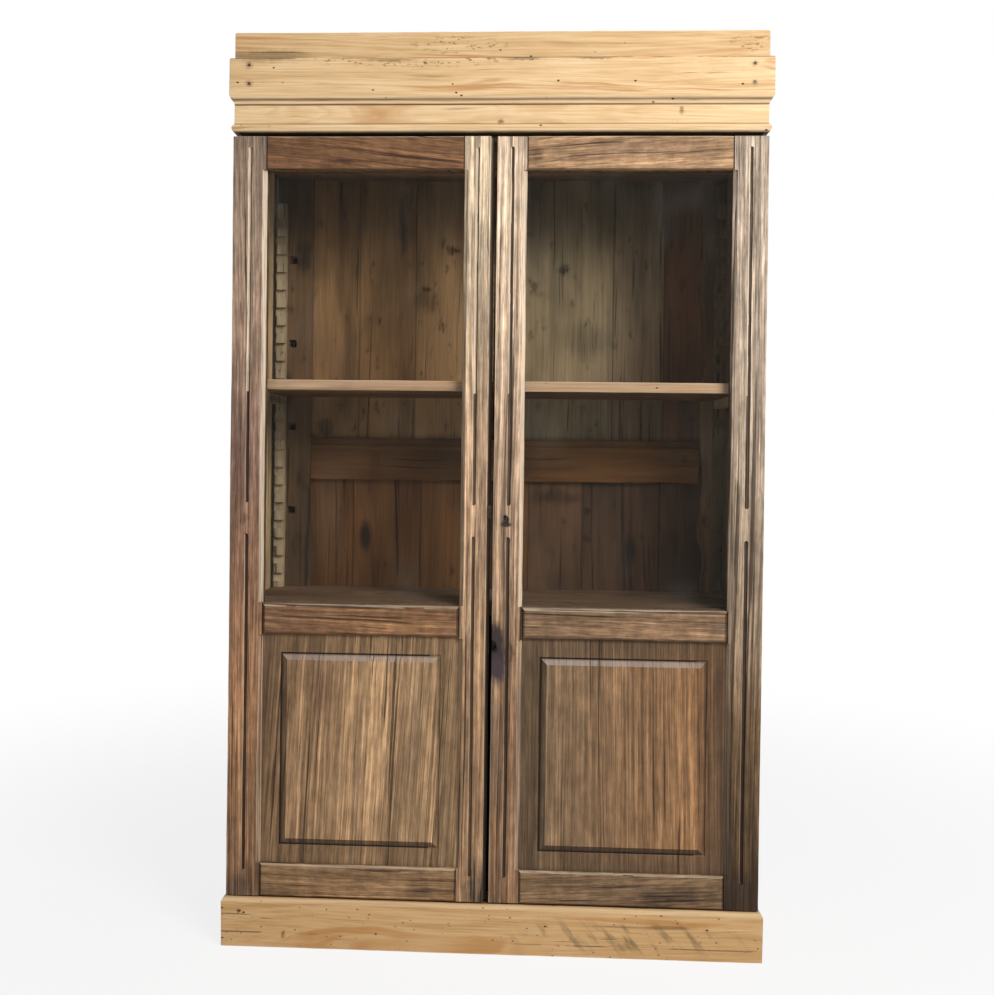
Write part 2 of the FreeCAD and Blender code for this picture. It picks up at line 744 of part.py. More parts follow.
def keyhole(name, wall, y):
    """A keyhole's round and slot along Y, widened by a wall."""
    eye = round_bar(f"{name}_eye", keyhole_x, y, keyhole_z, dim.keyhole_radius + wall)
    slot = block(f"{name}_slot", about(keyhole_x, dim.keyhole_slot_width + wall * 2), y,
                 (keyhole_z - dim.keyhole_slot_length - wall, keyhole_z))
    return joined(name, eye, slot)


def stile(label, x, inner, into, flute_x, cutters):
    """An upright of a door: mortises for rails, a groove for the panel, a rebate for the glass, flutes."""
    wood = block(f"{label}_plain", x, door_y, (door_bottom, door_top))
    for rail_name, (low, high) in rails.items():
        depth = dim.tenon_length + dim.mortise_play
        cutters.append(block(f"{label}_{rail_name}_mortise", span(inner, inner + depth * into), tenon_y,
                             (low + dim.tenon_inset, high - dim.tenon_inset)))
    groove_x = span(inner, inner + dim.groove_depth * into)
    cutters.append(block(f"{label}_groove", groove_x, panel_y, panel_groove_z))
    rebate_x = span(inner, inner + dim.rebate_depth * into)
    cutters.append(block(f"{label}_rebate", rebate_x, rebate_y, glass_rebate_z))
    for stretch, z in flutes.items():
        cutters.append(flute(f"{label}_{stretch}_flute", flute_x, z))
    for stretch, z in bevels.items():
        cutters.append(upright_bevel(f"{label}_{stretch}_bevel", inner, door_front, z, dim.edge_bevel))
    sub_part(cut(f"{label}_wood", wood, *cutters), label)


def rail(label, x, z, cutters):
    """A cross piece of a door with a tenon at each end."""
    wood = block(f"{label}_plain", x, door_y, z)
    tenons = block(f"{label}_tenons", (x[0] - dim.tenon_length, x[1] + dim.tenon_length), tenon_y,
                   (z[0] + dim.tenon_inset, z[1] - dim.tenon_inset))
    sub_part(cut(f"{label}_wood", joined(f"{label}_tenoned", wood, tenons), *cutters), label)


def raised_panel(label, x):
    """A flat panel in the grooves with a bevelled field standing in front of it, inside a sunk line."""
    reach = dim.groove_depth - dim.panel_play
    z = (bottom_rail_top, middle_rail_bottom)
    board = block(f"{label}_board", (x[0] - reach, x[1] + reach), panel_y, (z[0] - reach, z[1] + reach))
    field = doc.addObject("Part::Wedge", f"{label}_field")
    foot = dim.panel_border
    crest = dim.panel_border + dim.field_bevel
    for field_name, amount in (
        ("Xmin", x[0] + crest), ("Xmax", x[1] - crest), ("Zmin", z[0] + crest), ("Zmax", z[1] - crest),
        ("X2min", x[0] + foot), ("X2max", x[1] - foot), ("Z2min", z[0] + foot), ("Z2max", z[1] - foot),
        ("Ymin", panel_front - dim.field_raise), ("Ymax", panel_front),
    ):
        bind(field, field_name, amount)
    rings = []
    for ring, inset in (("outer", foot - dim.quirk_width), ("inner", foot)):
        rings.append(block(f"{label}_quirk_{ring}", (x[0] + inset, x[1] - inset),
                           (panel_front, panel_front + dim.quirk_depth), (z[0] + inset, z[1] - inset)))
    quirk = cut(f"{label}_quirk", *rings)
    sub_part(cut(f"{label}_sunk", joined(f"{label}_whole", board, field), quirk), label)


def pane_and_beads(side, x):
    """The glass in its rebate and the four strips that hold it from behind."""
    z = (middle_rail_top, top_rail_bottom)
    reach = dim.rebate_depth - dim.glass_play
    sub_part(block(f"{side}_pane", (x[0] - reach, x[1] + reach), glass_y, (z[0] - reach, z[1] + reach)),
             f"{side}_glass")
    bead_y = (glass_y[1], door_back - dim.glazing_recess)
    strips = [
        block(f"{side}_bead_low_x", (x[0] - dim.rebate_depth, x[0]), bead_y, glass_rebate_z),
        block(f"{side}_bead_high_x", (x[1], x[1] + dim.rebate_depth), bead_y, glass_rebate_z),
        block(f"{side}_bead_bottom", x, bead_y, (z[0] - dim.rebate_depth, z[0])),
        block(f"{side}_bead_top", x, bead_y, (z[1], z[1] + dim.rebate_depth)),
    ]
    sub_part(grouped(f"{side}_beads", *strips), f"{side}_glazing_beads")


def pivot_pins(side, x):
    """The pins that a door turns on; the lower one has the collar that carries the door."""
    top_pin = round_bar(f"{side}_top_pin", x, door_middle,
                        (door_top - dim.pin_depth, case_top + dim.pin_reach), dim.pin_radius)
    shank = round_bar(f"{side}_bottom_shank", x, door_middle,
                      (dim.plinth_height - dim.pin_reach, door_bottom + dim.pin_depth), dim.pin_radius)
    collar = round_bar(f"{side}_collar", x, door_middle, (dim.plinth_height, door_bottom), dim.collar_radius)
    bottom_pin = joined(f"{side}_bottom_pin", shank, collar)
    sub_part(grouped(f"{side}_pins", top_pin, bottom_pin), f"{side}_pivot_pins")


def seam_cutters(side):
    """Cutters of a meeting stile at the seam: lip and keeper on the left, lock on the right."""
    if side == "left":
        pocket_x = (left_free - dim.keeper_pocket, left_free)
        return [
            block("lip_rebate", (lip_front_edge, left_free), (door_front, lip_front), door_z),
            block("keeper_bed", keeper_x, (lip_front, door_back), keeper_z),
            block("keeper_pocket", pocket_x, bolt_room_y, bolt_room_z),
        ]
    return [
        block("lock_room", lock_x, lock_depth, lock_z),
        keyhole("keyhole_room", dim.liner_wall, (door_front, door_front + dim.liner_depth)),
        keyhole("keyhole_way", as_size(0), (door_front, lock_y - dim.lock_case_thickness / 2)),
        round_bar("finger_notch", right_free - dim.finger_notch_radius + dim.finger_notch_depth,
                  (door_front, door_front + dim.finger_notch_reach), door_bottom + dim.finger_notch_rise,
                  dim.finger_notch_radius),
    ]


# The two doors
for side, sign in (("left", -1), ("right", 1)):
    outer = door_half * sign
    hinge_inner = outer - dim.stile_width * sign
    free = left_free if side == "left" else right_free
    meeting_inner = free + dim.meeting_width * sign
    opening = span(hinge_inner, meeting_inner)
    pin_x = pivot_x * sign
    pin_hole = dim.pin_radius + dim.pin_fit
    hinge_cutters = [
        upright_bevel(f"{side}_swing_bevel", outer, door_back, door_z, dim.swing_bevel),
        round_bar(f"{side}_top_pin_hole", pin_x, door_middle,
                  (door_top - dim.pin_depth, door_top), pin_hole),
        round_bar(f"{side}_bottom_pin_hole", pin_x, door_middle,
                  (door_bottom, door_bottom + dim.pin_depth), pin_hole),
    ]
    stile(f"{side}_hinge_stile", span(outer, hinge_inner), hinge_inner, sign,
          (outer + hinge_inner) / 2, hinge_cutters)
    face_edge = lip_front_edge if side == "left" else right_free
    stile(f"{side}_meeting_stile", span(meeting_inner, free), meeting_inner, -sign,
          (meeting_inner + face_edge) / 2, seam_cutters(side))
    glass_low = block(f"{side}_middle_rebate", opening, rebate_y,
                      (middle_rail_top - dim.rebate_depth, middle_rail_top))
    glass_high = block(f"{side}_top_rebate", opening, rebate_y,
                       (top_rail_bottom, top_rail_bottom + dim.rebate_depth))
    panel_high = block(f"{side}_middle_groove", opening, panel_y,
                       (middle_rail_bottom, middle_rail_bottom + dim.groove_depth))
    panel_low = block(f"{side}_bottom_groove", opening, panel_y,
                      (bottom_rail_top - dim.groove_depth, bottom_rail_top))
    rail(f"{side}_top_rail", opening, rails["top"], [glass_high])
    rail(f"{side}_middle_rail", opening, rails["middle"], [glass_low, panel_high])
    rail(f"{side}_bottom_rail", opening, rails["bottom"], [panel_low])
    raised_panel(f"{side}_panel", opening)
    pane_and_beads(side, opening)
    pivot_pins(side, pin_x)

# Keeper on the left door's lip, lock in the right door's meeting stile
keeper_edge = block("keeper_edge", keeper_x, (lip_front, door_back), keeper_z)
keeper_face = block("keeper_face", (lip_front_edge, left_free),
                    (lip_front - dim.keeper_thickness, lip_front), keeper_z)
keeper_hole = block("keeper_hole", keeper_x, bolt_room_y, bolt_room_z)
sub_part(cut("keeper", joined("keeper_angle", keeper_edge, keeper_face), keeper_hole), "keeper_plate")
lock_box = block("lock_box", lock_x, lock_depth, lock_z)
lock_channel = block("lock_channel", (right_free, right_free + dim.lock_bolt_length + dim.bolt_fit),
                     bolt_room_y, bolt_room_z)
lock_keyway = keyhole("lock_keyway", as_size(0), (lock_y - dim.lock_case_thickness / 2, lock_y))
sub_part(cut("lock", lock_box, lock_channel, lock_keyway), "lock_case")
bolt_bar = block("bolt_bar", (right_free, right_free + dim.lock_bolt_length),
                 about(lock_y, dim.lock_bolt_thickness), about(lock_bolt_z, dim.lock_bolt_height))
sub_part(bolt_bar, "lock_bolt")
liner_y = (door_front, door_front + dim.liner_depth)
liner_outer = keyhole("liner_outer", dim.liner_wall, liner_y)
liner_inner = keyhole("liner_inner", as_size(0), liner_y)
sub_part(cut("liner", liner_outer, liner_inner), "keyhole_liner")

# Two sliding bolts on the back of the left door, each in a pair of guides
guide_half = dim.rod_size / 2 + dim.bolt_fit + dim.guide_wall
guide_x = (rod_x - guide_half, rod_x + guide_half)
guide_plate_y = (door_back, door_back + dim.guide_plate)
guide_y = (door_back + dim.guide_plate, rod_y[1] + dim.bolt_fit + dim.guide_wall)
guides = []
rod_rests = {
    "top": (ceiling - dim.rod_gap - dim.rod_length, ceiling - dim.rod_gap),
    "bottom": (floor_top + dim.rod_gap, floor_top + dim.rod_gap + dim.rod_length),
}
for end, (low, high) in rod_rests.items():
    plate_low = low + dim.rod_throw
    plate_high = high - dim.rod_throw
    plate = block(f"{end}_guide_plate", guide_x, guide_plate_y, (plate_low, plate_high))
    staples = [
        block(f"{end}_low_staple", guide_x, guide_y, (plate_low, plate_low + dim.guide_height)),
        block(f"{end}_high_staple", guide_x, guide_y, (plate_high - dim.guide_height, plate_high)),
    ]
    channel = block(f"{end}_guide_channel", rod_hole_x, rod_hole_y, (low, high))
    guides.append(cut(f"{end}_guide", joined(f"{end}_guide_solid", plate, *staples), channel))
    bar = block(f"{end}_rod", about(rod_x, dim.rod_size), rod_y, (low, high))
    knob = round_bar(f"{end}_knob", rod_x, (rod_y[1], rod_y[1] + dim.knob_length), (low + high) / 2,
                     dim.knob_radius)
    sub_part(joined(f"{end}_sliding_bolt", bar, knob), f"{end}_bolt")
sub_part(grouped("guides", *guides), "bolt_guides")

doc.recompute()
faulty = [item.Name for item in doc.Objects if {"Invalid", "Error"} & set(item.State)]
faulty += [item.Label for item in sub_parts if item.Shape.isNull() or not item.Shape.isValid()]
if faulty:
    raise SystemExit("failed pieces: " + ", ".join(faulty))
os.makedirs("parts", exist_ok=True)
for item in sub_parts:
    item.Shape.exportStep(f"parts/{item.Label}.step")
    print(item.Label, len(item.Shape.Solids), "solids", round(item.Shape.Volume), "mm3")
print(len(sub_parts), "nodes")
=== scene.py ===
# %% [markdown]
# A two-door display cabinet in old wood, dressed around its construction model.
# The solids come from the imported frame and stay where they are. Blender's share is the look: eased and
# slightly crooked edges, three kinds of old wood, dusty glass, dark iron, daylight and a camera.

# %% Load the frame
import json
import math

import bpy
import numpy as np
from mathutils import Matrix, Vector


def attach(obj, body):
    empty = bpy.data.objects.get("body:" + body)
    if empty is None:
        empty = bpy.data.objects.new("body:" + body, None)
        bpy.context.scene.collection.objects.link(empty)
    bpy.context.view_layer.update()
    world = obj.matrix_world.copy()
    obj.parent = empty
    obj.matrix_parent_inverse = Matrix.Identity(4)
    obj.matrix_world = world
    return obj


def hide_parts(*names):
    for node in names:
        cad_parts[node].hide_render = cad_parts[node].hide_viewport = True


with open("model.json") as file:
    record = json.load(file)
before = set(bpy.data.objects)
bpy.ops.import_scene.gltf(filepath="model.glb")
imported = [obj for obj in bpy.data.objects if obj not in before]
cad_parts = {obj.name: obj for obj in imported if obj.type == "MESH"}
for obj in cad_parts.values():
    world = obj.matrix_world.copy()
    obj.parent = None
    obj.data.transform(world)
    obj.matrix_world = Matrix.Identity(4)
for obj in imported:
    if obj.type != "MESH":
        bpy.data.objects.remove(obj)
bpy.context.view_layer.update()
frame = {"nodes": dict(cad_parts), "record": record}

body_of_node = {node: body for body, nodes in frame["record"]["behaviour"]["bodies"].items() for node in nodes}

# %% [markdown]
# The camera stands a little over two and a half metres away, at chest height. It is turned slightly to the
# left and tilted a hair, as a phone held by hand is, so the uprights of the cabinet lean in the picture.
# Lens and shift are worked out from the picture's width in pixels and from its optical centre.

# %% Camera
PICTURE = (994, 995)
SENSOR = 36.0
FOCAL_PIXELS = 1013
OPTICAL_CENTRE = (471.0, 470.2)
STAND = (0.050, -2.711, 1.231)
TURN, TILT, ROLL = math.radians(2.46), math.radians(-0.52), math.radians(0.71)

long_side = max(PICTURE)
bpy.ops.object.camera_add(location=STAND)
camera = bpy.context.object
camera.name = "chest_height_camera"
aim = Matrix.Rotation(TURN, 3, "Z") @ Matrix.Rotation(math.pi / 2 + TILT, 3, "X") @ Matrix.Rotation(ROLL, 3, "Z")
camera.rotation_euler = aim.to_euler()
camera.data.sensor_width = SENSOR
camera.data.lens = SENSOR * FOCAL_PIXELS / long_side
camera.data.shift_x = (PICTURE[0] / 2 - OPTICAL_CENTRE[0]) / long_side
camera.data.shift_y = (OPTICAL_CENTRE[1] - PICTURE[1] / 2) / long_side
bpy.context.scene.camera = camera
print("lens", round(camera.data.lens, 2), "shift", round(camera.data.shift_x, 4), round(camera.data.shift_y, 4))

# %% [markdown]
# Daylight falls on the cabinet from above and from the right. A big soft lamp gives that direction, and a
# weak one opposite keeps the shaded bevels readable.

# %% Lamps


def soft_lamp(name, place, target, size, watts, colour):
    bpy.ops.object.light_add(type="AREA", location=place)
    lamp = bpy.context.object
    lamp.name = name
    lamp.rotation_euler = (Vector(target) - Vector(place)).to_track_quat("-Z", "Y").to_euler()
    lamp.data.size = size
    lamp.data.energy = watts
    lamp.data.color = colour


soft_lamp("sky_window", (2.2, -2.9, 3.3), (0, 0, 1.3), size=1.8, watts=150, colour=(1.0, 0.985, 0.965))
soft_lamp("left_fill", (-3.2, -2.8, 1.6), (0, 0, 1.0), size=2.2, watts=14, colour=(0.95, 0.97, 1.0))

# %% [markdown]
# An even sky does the rest. For the camera, for gloss and for glass it is plain white. The other rays see a
# dimmer one, so that the wood keeps its depth.

# %% Sky
SKY_LIGHT = 0.27
WHITE, COOL_WHITE = (1, 1, 1, 1), (0.97, 0.985, 1, 1)

sky = bpy.data.worlds.new("even_sky")
sky.use_nodes = True
bpy.context.scene.world = sky
sky_nodes, sky_links = sky.node_tree.nodes, sky.node_tree.links
sky_nodes.clear()
ray = sky_nodes.new("ShaderNodeLightPath")
seen = ray.outputs["Is Camera Ray"]
for kind in ("Is Glossy Ray", "Is Transmission Ray"):
    either = sky_nodes.new("ShaderNodeMath")
    either.operation = "MAXIMUM"
    sky_links.new(seen, either.inputs[0])
    sky_links.new(ray.outputs[kind], either.inputs[1])
    seen = either.outputs[0]
plain, dim = sky_nodes.new("ShaderNodeBackground"), sky_nodes.new("ShaderNodeBackground")
plain.inputs["Color"].default_value = WHITE
dim.inputs["Color"].default_value = COOL_WHITE
dim.inputs["Strength"].default_value = SKY_LIGHT
choice = sky_nodes.new("ShaderNodeMixShader")
sky_links.new(seen, choice.inputs[0])
sky_links.new(dim.outputs[0], choice.inputs[1])
sky_links.new(plain.outputs[0], choice.inputs[2])
sky_out = sky_nodes.new("ShaderNodeOutputWorld")
sky_links.new(choice.outputs[0], sky_out.inputs["Surface"])
bpy.context.scene.view_settings.view_transform = "Standard"
print("sky", sky.name, "strength", SKY_LIGHT)

# %% [markdown]
# A finish is a tree of shader nodes. Writing each node out in full hides the idea behind the plumbing, so
# one small class adds nodes and links them. Its methods carry the names of what a finisher does with a
# pattern: stretch it, mix it, keep a span of it, put a spot of it somewhere. A line is full in its core and
# fades outside it, and a spot fades over its rim.

# %% A bench for finishes
NOISE_MIDDLE = (0.5, 0.5, 0.5)
LINE_CORE = 0.3
SPOT_RIM = 0.8


def chart(code):
    """A linear colour from six hexadecimal digits, as a colour chart gives it."""
    steps = [int(code[i:i + 2], 16) / 255 for i in (0, 2, 4)]
    return tuple(s / 12.92 if s <= 0.04045 else ((s + 0.055) / 1.055) ** 2.4 for s in steps) + (1.0,)


class Finish:
    """A material under construction."""

    def __init__(self, name):
        self.material = bpy.data.materials.new(name)
        self.material.use_nodes = True
        self.tree = self.material.node_tree
        self.tree.nodes.clear()

    def node(self, kind, inputs, **settings):
        """A new node: an input is a plain value, or the socket that feeds it."""
        made = self.tree.nodes.new("ShaderNode" + kind)
        for name, value in settings.items():
            setattr(made, name, value)
        for name, value in inputs.items():
            if isinstance(value, bpy.types.NodeSocket):
                self.tree.links.new(value, made.inputs[name])
            else:
                made.inputs[name].default_value = value
        return made

    def attribute(self, name, output):
        return self.node("Attribute", {}, attribute_name=name).outputs[output]

    def place(self):
        return self.node("TexCoord", {}).outputs["Object"]

    def axes(self, vector):
        return self.node("SeparateXYZ", {0: vector}).outputs

    def vector(self, operation, first, second):
        return self.node("VectorMath", {0: first, 1: second}, operation=operation).outputs["Vector"]

    def length(self, vector):
        return self.node("VectorMath", {0: vector}, operation="LENGTH").outputs["Value"]

    def math(self, operation, first, second):
        return self.node("Math", {0: first, 1: second}, operation=operation).outputs[0]

    def times(self, first, second):
        return self.math("MULTIPLY", first, second)

    def noise(self, vector, stretch, detail=3.0, roughness=0.6, output="Fac"):
        scaled = self.vector("MULTIPLY", vector, stretch)
        fields = {"Vector": scaled, "Scale": 1.0, "Detail": detail, "Roughness": roughness}
        return self.node("TexNoise", fields).outputs[output]

    def cells(self, vector, stretch):
        """The distance from the middle of the nearest cell."""
        scaled = self.vector("MULTIPLY", vector, stretch)
        return self.node("TexVoronoi", {"Vector": scaled, "Scale": 1.0}).outputs["Distance"]

    def swing(self, noise, reach):
        """A coloured noise as a push to either side."""
        return self.vector("MULTIPLY", self.vector("SUBTRACT", noise, NOISE_MIDDLE), reach)

    def span(self, value, low, high, start=0.0, end=1.0):
        """Smoothly from start to end while the value goes from low to high."""
        fields = {"Value": value, "From Min": low, "From Max": high, "To Min": start, "To Max": end}
        return self.node("MapRange", fields, interpolation_type="SMOOTHSTEP").outputs["Result"]

    def ramp(self, value, stops):
        made = self.node("ValToRGB", {"Fac": value})
        strip = made.color_ramp.elements
        while len(strip) < len(stops):
            strip.new(0.5)
        for element, (at, colour) in zip(strip, stops):
            element.position = at
            element.color = colour
        return made.outputs["Color"]

    def mix(self, share, first, second, mode="MIX"):
        return self.node("MixRGB", {"Fac": share, "Color1": first, "Color2": second}, blend_type=mode).outputs[0]

    def tint(self, colour, share, code):
        """A colour covered by its share of a shade from the chart."""
        return self.mix(share, colour, chart(code))

    def spot(self, vector, centre, radii, soft=0.5):
        """1 inside an egg-shaped stretch of the object, fading to 0 at its rim."""
        away = self.vector("SUBTRACT", vector, centre)
        reach = self.length(self.vector("DIVIDE", away, radii))
        return self.span(reach, 1.0 - soft, 1.0, 1.0, 0.0)

    def band(self, value, centre, half):
        """1 on a line, fading to 0 half a width away from it."""
        away = self.math("ABSOLUTE", self.math("SUBTRACT", value, centre), 0.0)
        return self.span(away, half * LINE_CORE, half, 1.0, 0.0)

    def ragged(self, vector, scale, reach):
        """The same places, shaken a little, so that spots get torn rims."""
        shake = self.noise(vector, (scale, scale, scale), 3.0, 0.6, "Color")
        return self.vector("ADD", vector, self.swing(shake, (reach, reach, reach)))

    def spots(self, colour, vector, veil, marks):
        """Lay spots over a colour, thinned by a veil, each with its centre, radii, share and shade."""
        for centre, radii, share, code in marks:
            laid = self.times(self.spot(vector, centre, radii, SPOT_RIM), veil)
            colour = self.tint(colour, self.times(laid, share), code)
        return colour

    def finish(self, colour, roughness, height, depth, strength, **plain):
        """Close the tree with a shader that is bumped by a height."""
        bump = self.node("Bump", {"Height": height, "Strength": strength, "Distance": depth})
        fields = {"Base Color": colour, "Roughness": roughness, "Normal": bump.outputs["Normal"]}
        fields.update({name.replace("_", " "): value for name, value in plain.items()})
        shader = self.node("BsdfPrincipled", fields)
        self.node("OutputMaterial", {"Surface": shader.outputs[0]})
        return self.material


print("white of the chart", [round(v, 3) for v in chart("ffffff")])

# %% [markdown]
# All the wood is cut from trees, so one recipe serves the three kinds. Every board carries its own grain
# coordinates: across, through and along, counted from the heart of a tree that lies somewhere beside it.
# The distance from that heart drives a noise, so its bands follow the rings as stripes or arches but keep
# an uneven width. Long thin noise gives fibres and cracks, and a sparse cell pattern gives knots.

# %% The recipe for wood
KNOT_CORE, KNOT_REACH, KNOT_PULL = 0.35, 3.2, 0.016
WANDER_REACH = 0.006


class Wood(Finish):
    """A finish that starts with the patterns of a sawn board."""

    def __init__(self, name, ring_gap, knot_size, drift_reach=0.07):
        super().__init__(name)
        self.grain = self.attribute("grain", "Vector")
        self.where = self.place()
        knot_far = self.cells(self.grain, (4.2, 4.2, 1.7))
        self.knot = self.span(knot_far, knot_size * KNOT_CORE, knot_size, 1.0, 0.0)
        knot_pull = self.span(knot_far, 0.0, knot_size * KNOT_REACH, KNOT_PULL, 0.0)
        drift = self.noise(self.grain, (2.2, 2.2, 0.7), 2.0, 0.5, "Color")
        wander = self.noise(self.grain, (22, 22, 3.0), 2.0, 0.5, "Color")
        slow = self.swing(drift, (drift_reach, drift_reach, 0))
        quick = self.swing(wander, (WANDER_REACH, WANDER_REACH, 0))
        self.lines = self.vector("ADD", self.vector("ADD", self.grain, slow), quick)
        radius = self.length(self.vector("MULTIPLY", self.lines, (1, 1, 0)))
        radius = self.math("ADD", radius, knot_pull)
        along = self.axes(self.grain)["Z"]
        bands = self.node("CombineXYZ", {"X": radius, "Z": along}).outputs[0]
        self.ring = self.noise(bands, (1 / ring_gap, 1, 1.1), 5.0, 0.58)
        self.streak = self.noise(self.lines, (230, 230, 4.2), 3.0, 0.6)
        self.fibre = self.noise(self.lines, (440, 440, 9), 2.0, 0.6)
        self.split = self.noise(self.lines, (95, 95, 1.7), 3.0, 0.5)
        self.cloud = self.noise(self.grain, (8, 8, 2.6), 3.0, 0.55)

    def figure(self, ring, streak, fibre):
        """Rings, streaks and fibres added by their shares."""
        both = self.math("ADD", self.times(self.ring, ring), self.times(self.streak, streak))
        return self.math("ADD", both, self.times(self.fibre, fibre))

    def shade(self, base, value, stops):
        """Darken or lighten a colour by grey levels along a value; a level of 0.5 leaves it as it is."""
        levels = self.ramp(value, [(at, (level, level, level, 1)) for at, level in stops])
        doubled = self.mix(1.0, levels, (2, 2, 2, 1), "MULTIPLY")
        return self.mix(1.0, base, doubled, "MULTIPLY")


print("patterns of a board: rings, streaks, fibres, splits, clouds and knots")

# %% [markdown]
# The doors are the most weathered wood. Their stain has worn off the high fibres and stayed in the low ones,
# so the grain shows as dark and pale stripes. The stain itself comes from the mesh: each rail and stile has
# its own shade, and its own share of calm that softens the stripes. A greyish bloom lies over some stretches.

# %% Door wood: stain and grain
wood = Wood("weathered_door_wood", ring_gap=0.012, knot_size=0.07)
figure = wood.figure(ring=0.44, streak=0.36, fibre=0.20)
stain = wood.attribute("stain", "Color")
striped = wood.shade(stain, figure, [(0.405, 0.15), (0.465, 0.34), (0.53, 0.56), (0.60, 1.0)])
calmed = wood.mix(wood.attribute("calm", "Fac"), striped, stain)
clouded = wood.shade(calmed, wood.cloud, [(0.30, 0.36), (0.50, 0.50), (0.70, 0.60)])
short_fibres = wood.noise(wood.lines, (150, 150, 24), 4.0, 0.68)
flecked = wood.shade(clouded, short_fibres, [(0.34, 0.34), (0.50, 0.50), (0.66, 0.66)])
blotches = wood.noise(wood.where, (34, 34, 20), 3.0, 0.6)
mottled = wood.shade(flecked, blotches, [(0.32, 0.41), (0.50, 0.50), (0.68, 0.59)])
bloom = wood.span(wood.noise(wood.grain, (13, 13, 3.5), 3.0, 0.6), 0.54, 0.76, 0.0, 0.22)
bloomed = wood.tint(mottled, bloom, "84766a")
print("stain and grain", len(wood.tree.nodes), "nodes")

# %% [markdown]
# Handled edges are pale and ledges are dusty, and both also carry painted highlights where faces turn to the
# light. Painted shade darkens the recesses: the sunk borders of the panels, the fine groove around each raised
# field, except along its right edge where the light falls, and the gap between the doors, which is nearly black.

# %% Door wood: wear, painted light and shade, and cracks
RECESS = (-0.1765, -0.1738)
GROOVE_DEPTH, GROOVE_HALF = -0.1720, 0.0018
GROOVE_LIT_EDGES = (-0.137, 0.528)
GAP_MIDDLE, GAP_HALF = -0.007, 0.016
GAP_MOUTH, GAP_END = (-0.1838, -0.1800), (-0.166, -0.160)

# The wear share also holds painted highlights on flute walls, bevels and rail tops that face the light.
worn_and_lit = wood.times(wood.attribute("wear_and_light", "Fac"), wood.span(wood.streak, 0.36, 0.60, 0.55, 1.0))
edged_and_lit = wood.tint(bloomed, worn_and_lit, "ead7bd")
# The dust on the top slopes of the fields is partly a painted highlight.
dust_and_highlight = wood.times(wood.attribute("dust", "Fac"), wood.span(wood.cloud, 0.30, 0.60, 0.6, 1.0))
dusted_and_lit = wood.tint(edged_and_lit, dust_and_highlight, "a3958c")
side, depth, _ = wood.axes(wood.where)
# Painted shade on every face deeper than the door's front, in the recesses.
recess_shaded = wood.tint(dusted_and_lit, wood.span(depth, *RECESS, 0.0, 0.45), "3a2c1c")
# Painted shade in the fine groove around each raised field, left out along its lit right edge.
groove_shade = wood.band(depth, GROOVE_DEPTH, GROOVE_HALF)
for edge in GROOVE_LIT_EDGES:
    groove_shade = wood.math("SUBTRACT", groove_shade, wood.spot(wood.where, (edge, GROOVE_DEPTH, 0.50), (0.03, 0.03, 0.5), 0.4))
groove_shaded = wood.tint(recess_shaded, wood.span(groove_shade, 0.0, 1.0, 0.0, 0.9), "1c130c")
pored = wood.tint(groove_shaded, wood.span(wood.fibre, 0.57, 0.67, 0.0, 0.6), "3b281a")
cracked = wood.tint(pored, wood.span(wood.split, 0.62, 0.665, 0.0, 0.80), "2b1b10")
knotted = wood.tint(cracked, wood.times(wood.knot, 0.8), "2e1c11")
# On the doors the soot share is painted shade on flutes, bevels, rail shoulders and field slopes.
sooty_and_shaded = wood.tint(knotted, wood.times(wood.attribute("soot_and_shade", "Fac"), 0.9), "20150d")
# Painted shade in the gap between the doors, nearly black.
gap_shade = wood.times(wood.band(side, GAP_MIDDLE, GAP_HALF), wood.span(depth, *GAP_MOUTH, 0.0, 0.92))
gap_shade = wood.times(gap_shade, wood.span(depth, *GAP_END, 1.0, 0.0))
gap_shaded = wood.tint(sooty_and_shaded, gap_shade, "120c08")
print("wear, dirt and cracks", len(wood.tree.nodes), "nodes")

# %% [markdown]
# Use has left its marks in known places: dark feet of the stiles, a patch where hands pull the door open,
# and grease around the finger notch and the keyhole. Their rims are torn by noise.

# %% Door wood: marks of use
DOOR_SPOTS = [
    ((-0.632, -0.185, 1.080), (0.014, 0.03, 0.022), 0.95, "2d1c15"),
    ((-0.415, -0.181, 0.650), (0.055, 0.03, 0.100), 0.75, "573c30"),
    ((0.455, -0.185, 0.160), (0.110, 0.03, 0.030), 0.95, "241b19"),
    ((-0.176, -0.185, 0.158), (0.042, 0.03, 0.036), 0.80, "2b211a"),
    ((0.050, -0.185, 0.756), (0.012, 0.03, 0.034), 0.90, "33200f"),
    ((0.093, -0.185, 2.000), (0.028, 0.03, 0.030), 0.85, "402b1e"),
    ((-0.390, -0.185, 1.979), (0.060, 0.03, 0.012), 0.90, "35221a"),
    ((-0.632, -0.185, 0.145), (0.055, 0.03, 0.070), 1.20, "40372f"),
    ((-0.032, -0.185, 0.160), (0.042, 0.03, 0.100), 1.30, "2c2520"),
    ((0.630, -0.185, 0.150), (0.060, 0.03, 0.085), 1.25, "2a1d17"),
]
HAND_MARKS = [
    ((0.010, -0.185, 0.788), (0.030, 0.03, 0.058), 2.60, "3a2f2d"),
    ((0.012, -0.185, 0.745), (0.031, 0.03, 0.062), 2.60, "352b2c"),
    ((0.013, -0.185, 0.712), (0.030, 0.03, 0.050), 2.60, "43373a"),
]
LOCK_MARKS = [
    ((0.006, -0.185, 0.763), (0.012, 0.03, 0.014), 1.50, "120d0b"),
    ((0.030, -0.185, 1.0735), (0.0190, 0.03, 0.0090), 1.30, "342e29"),
    ((0.031, -0.185, 1.0850), (0.0115, 0.03, 0.0130), 1.60, "1b1410"),
]

